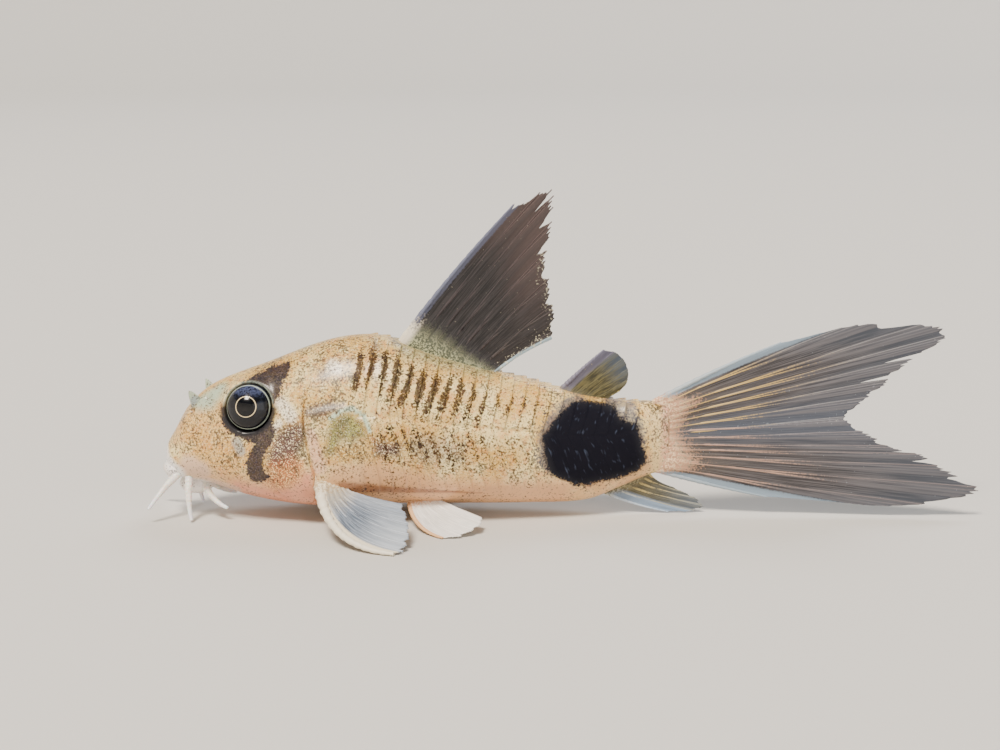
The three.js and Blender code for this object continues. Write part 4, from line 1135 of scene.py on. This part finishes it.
tailBuild = {
    "spine": 0.24, "ray": 0.12, "rootThick": 0.8, "rows": 72, "perRay": 14, "forks": (0.32, 0.62), "meet": -0.25}
tailFins = {
    "tailFinUpper": {
        **tailBuild, "replaces": "tail_fin_upper", "skinFinish": "greyFinSkin", "rayFinish": "goldenFinRay",
        "seed": 21, "rootFrom": 9.05, "rootTo": 6.6, "lean": 0.7, "bow": 0.5, "ragged": 0.025,
        "slits": [(3.62, 0.13, 0.11), (4.62, 0.15, 0.1), (1.4, 0.05, 0.25)],
        "tips": [(50.5, 14.3), (57.2, 15.8), (63.3, 15.6), (63.9, 14.5), (60.8, 12.5), (59.2, 10.9),
                 (57.3, 9.4), (55.6, 7.75)]},
    "tailFinLower": {
        **tailBuild, "replaces": "tail_fin_lower", "skinFinish": "roseFinSkin", "rayFinish": "roseFinRay",
        "seed": 22, "rootFrom": 3.9, "rootTo": 6.75, "lean": -1.2, "bow": -0.3, "ragged": 0.03,
        "slits": [(2.6, 0.04, 0.12), (3.5, 0.05, 0.12), (4.5, 0.05, 0.12), (0.6, 0.03, 0.2)],
        "tips": [(49.5, 1.5), (60.2, 0.85), (66.8, 2.1), (64.3, 3.9), (62.4, 5.1), (60.2, 5.6),
                 (58.0, 6.7), (56.0, 7.85)]},
}
for name, look in tailFins.items():
    handOver(buildFin(name, look, tailRays(look), look["seed"]), "clear_fin", look["replaces"])

pairedFins = {  # roots and bows of the first and the last ray, and every tip
    "pectoral": {
        "spine": 0.5, "ray": 0.13, "rootThick": 0.9, "rows": 48, "perRay": 14, "ragged": 0.03,
        "skinFinish": "milkyFinSkin", "rayFinish": "milkyFinRay",
        "roots": [(12.9, 4.3, 4.2), (14.4, 4.4, 3.2)], "bows": [(-2.7, 2.75, -1.95), (0, 0.3, -0.1)],
        "tips": [(19.4, 12.7, 0.2), (20.0, 12.3, 0.22), (20.3, 11.6, 0.5), (20.5, 10.6, 0.95), (20.4, 9.5, 1.5),
                 (20.1, 8.4, 2.1), (19.7, 7.4, 2.7)]},
    "pelvic": {
        "spine": 0.22, "ray": 0.13, "rootThick": 0.6, "rows": 40, "perRay": 14, "ragged": 0.03,
        "skinFinish": "whiteFinSkin", "rayFinish": "whiteFinRay",
        "roots": [(20.0, 2.7, 1.7), (21.9, 2.2, 1.8)], "bows": [(-1.1, 0.6, -0.8), (0.1, 0.2, 0)],
        "tips": [(22.9, 8.1, 0.15), (24.1, 8.0, 0.2), (25.1, 7.4, 0.45), (25.9, 6.6, 0.8), (26.0, 5.5, 1.05)]},
}
for side, label in sides:
    for kind, look in pairedFins.items():
        fin = buildFin(f"{kind}Fin_{label}", look, pairedRays(look, side), 30 + side)
        handOver(fin, "pale_fin", f"{kind}_fin_{label}")
print("fins")


# The feelers: root, bend and tip of each.

feelers = {
    "barbel_front": ((1.1, 1.3, 3.7), (0.0, 2.3, 2.8), (-1.1, 3.4, 1.2)),
    "barbel_lower": ((2.0, 1.7, 3.5), (1.9, 2.6, 1.9), (2.3, 3.1, 0.2)),
    "barbel_chin": ((3.0, 0.75, 2.9), (3.7, 1.9, 1.5), (5.2, 2.6, 1.1)),
}
feelerLook = {"rootRadius": 0.34, "tipRadius": 0.13, "taper": 1.2, "steps": 60, "sides": 20, "ripple": 0.04,
              "jointLength": 0.3, "jointDepth": 0.08}


def makeFeelerFinish():
    # soft white skin, wet, which lets a little light through
    material, tree, shader, found = finish("softFeelerSkin", {
        "Roughness": 0.35, "IOR": 1.4, "Coat Weight": 0.3, "Coat Roughness": 0.15,
        "Subsurface Weight": 0.25, "Subsurface Scale": 0.5 * mm}, {"fine": (0.3, 3.0, 0.55)}, ("toTip",))
    color = paint(tree, found, "#e3dcd0", {
        "fine": {"edge": (0.3, 0.7), "color": "#f3efe9"}, "toTip": {"edge": (0.55, 1.0), "color": "#e9edf4"}})
    tree.links.new(color, shader.inputs["Base Color"])
    return material


def buildFeeler(name, side, knots, material):
    t = np.linspace(0, 1, feelerLook["steps"])
    root, bend, tip = (np.array(knot) * [1, side, 1] for knot in knots)
    points = bezier(root, tip, bend - (root + tip) / 2, t)
    thin, thick = feelerLook["tipRadius"], feelerLook["rootRadius"]
    radius = (thick + (thin - thick) * t**feelerLook["taper"]) * (1 + feelerLook["ripple"] * np.sin(t * 70))
    points[:, 2] = np.maximum(points[:, 2], radius + 0.02)  # nothing goes below the floor
    return tubesAlong(name, [(points, radius, {"toTip": t})], material, {
        "Joint Length": feelerLook["jointLength"] * mm, "Joint Depth": feelerLook["jointDepth"],
        "Sides": feelerLook["sides"]})


feelerFinish = makeFeelerFinish()
for side, label in sides:
    for name, knots in feelers.items():
        handOver(buildFeeler(f"{name}Tube_{label}", side, knots, feelerFinish), "feeler", f"{name}_{label}")
print("feelers")


# A pale card bowl for a floor, flat under the fish, then soft light and the camera, all in metres.

stageLook = {"flat": 0.9, "curve": 0.6, "high": 0.8, "around": 96, "color": "#cfccc6", "sky": "#dfe2e6",
             "skyStrength": 0.28}
lights = {
    "keyLight": {"place": (-0.6, -1.08, 2.04), "size": 0.66, "power": 104, "color": "#fff4e6"},
    "fillLight": {"place": (0.6, -0.72, 0.3), "size": 0.6, "power": 1.5, "color": "#e6eeff"},
    "backLight": {"place": (0.48, 0.88, 1.12), "size": 0.72, "power": 11, "color": "#eef4ff"},
}
camera = {  # the target and the distance are in fish places
    "elevation": 11.0, "distance": 150.0, "target": (27.39, 0, 11.63), "focalPixels": 1833.7, "imageWidth": 1000}


def buildFloor():
    flat, curve, around = stageLook["flat"], stageLook["curve"], stageLook["around"]
    bends = [math.pi / 2 * i / 24 for i in range(25)]
    profile = [(0.01, 0.0), (0.3, 0.0)] + [(flat + curve * math.sin(a), curve * (1 - math.cos(a))) for a in bends]
    profile.append((flat + curve, stageLook["high"]))
    turns = [2 * math.pi * c / around for c in range(around)]
    corners = [(r * math.cos(a), r * math.sin(a), z) for r, z in profile for a in turns]
    mesh = bpy.data.meshes.new("floor")
    mesh.from_pydata(corners, [], gridFaces(len(profile), around, wrap=True) + [tuple(range(around))])
    # matt uncoated card, which shows soft shadows and no shine
    card = finish("paleCard", {"Roughness": 0.85, "Base Color": toLinear(stageLook["color"])})[0]
    mesh.materials.append(card)
    mesh.shade_smooth()
    floor = bpy.data.objects.new("floor", mesh)
    bpy.context.scene.collection.objects.link(floor)
    return floor


floor = buildFloor()
for name, look in lights.items():
    lamp = bpy.data.lights.new(name, "AREA")
    lamp.size, lamp.energy, lamp.color = look["size"], look["power"], toLinear(look["color"])[:3]
    holder = bpy.data.objects.new(name, lamp)
    holder.location = look["place"]
    holder.rotation_euler = (-Vector(look["place"])).to_track_quat("-Z", "Y").to_euler()
    bpy.context.scene.collection.objects.link(holder)

world = bpy.data.worlds.new("studio")
world.use_nodes = True
world.node_tree.nodes["Background"].inputs["Color"].default_value = toLinear(stageLook["sky"])
world.node_tree.nodes["Background"].inputs["Strength"].default_value = stageLook["skyStrength"]
bpy.context.scene.world = world

lens = bpy.data.cameras.new("camera")
lens.sensor_width = 36
lens.lens = 36 * camera["focalPixels"] / camera["imageWidth"]
lens.clip_start, lens.clip_end = 0.01, 20
viewer = bpy.data.objects.new("camera", lens)
lift = math.radians(camera["elevation"])
back = Vector((0, -math.cos(lift), math.sin(lift)))
viewer.location = Vector(toFrame(camera["target"])) + back * camera["distance"] * mm
viewer.rotation_euler = (-back).to_track_quat("-Z", "Y").to_euler()
bpy.context.scene.collection.objects.link(viewer)
bpy.context.scene.camera = viewer
print("stage")
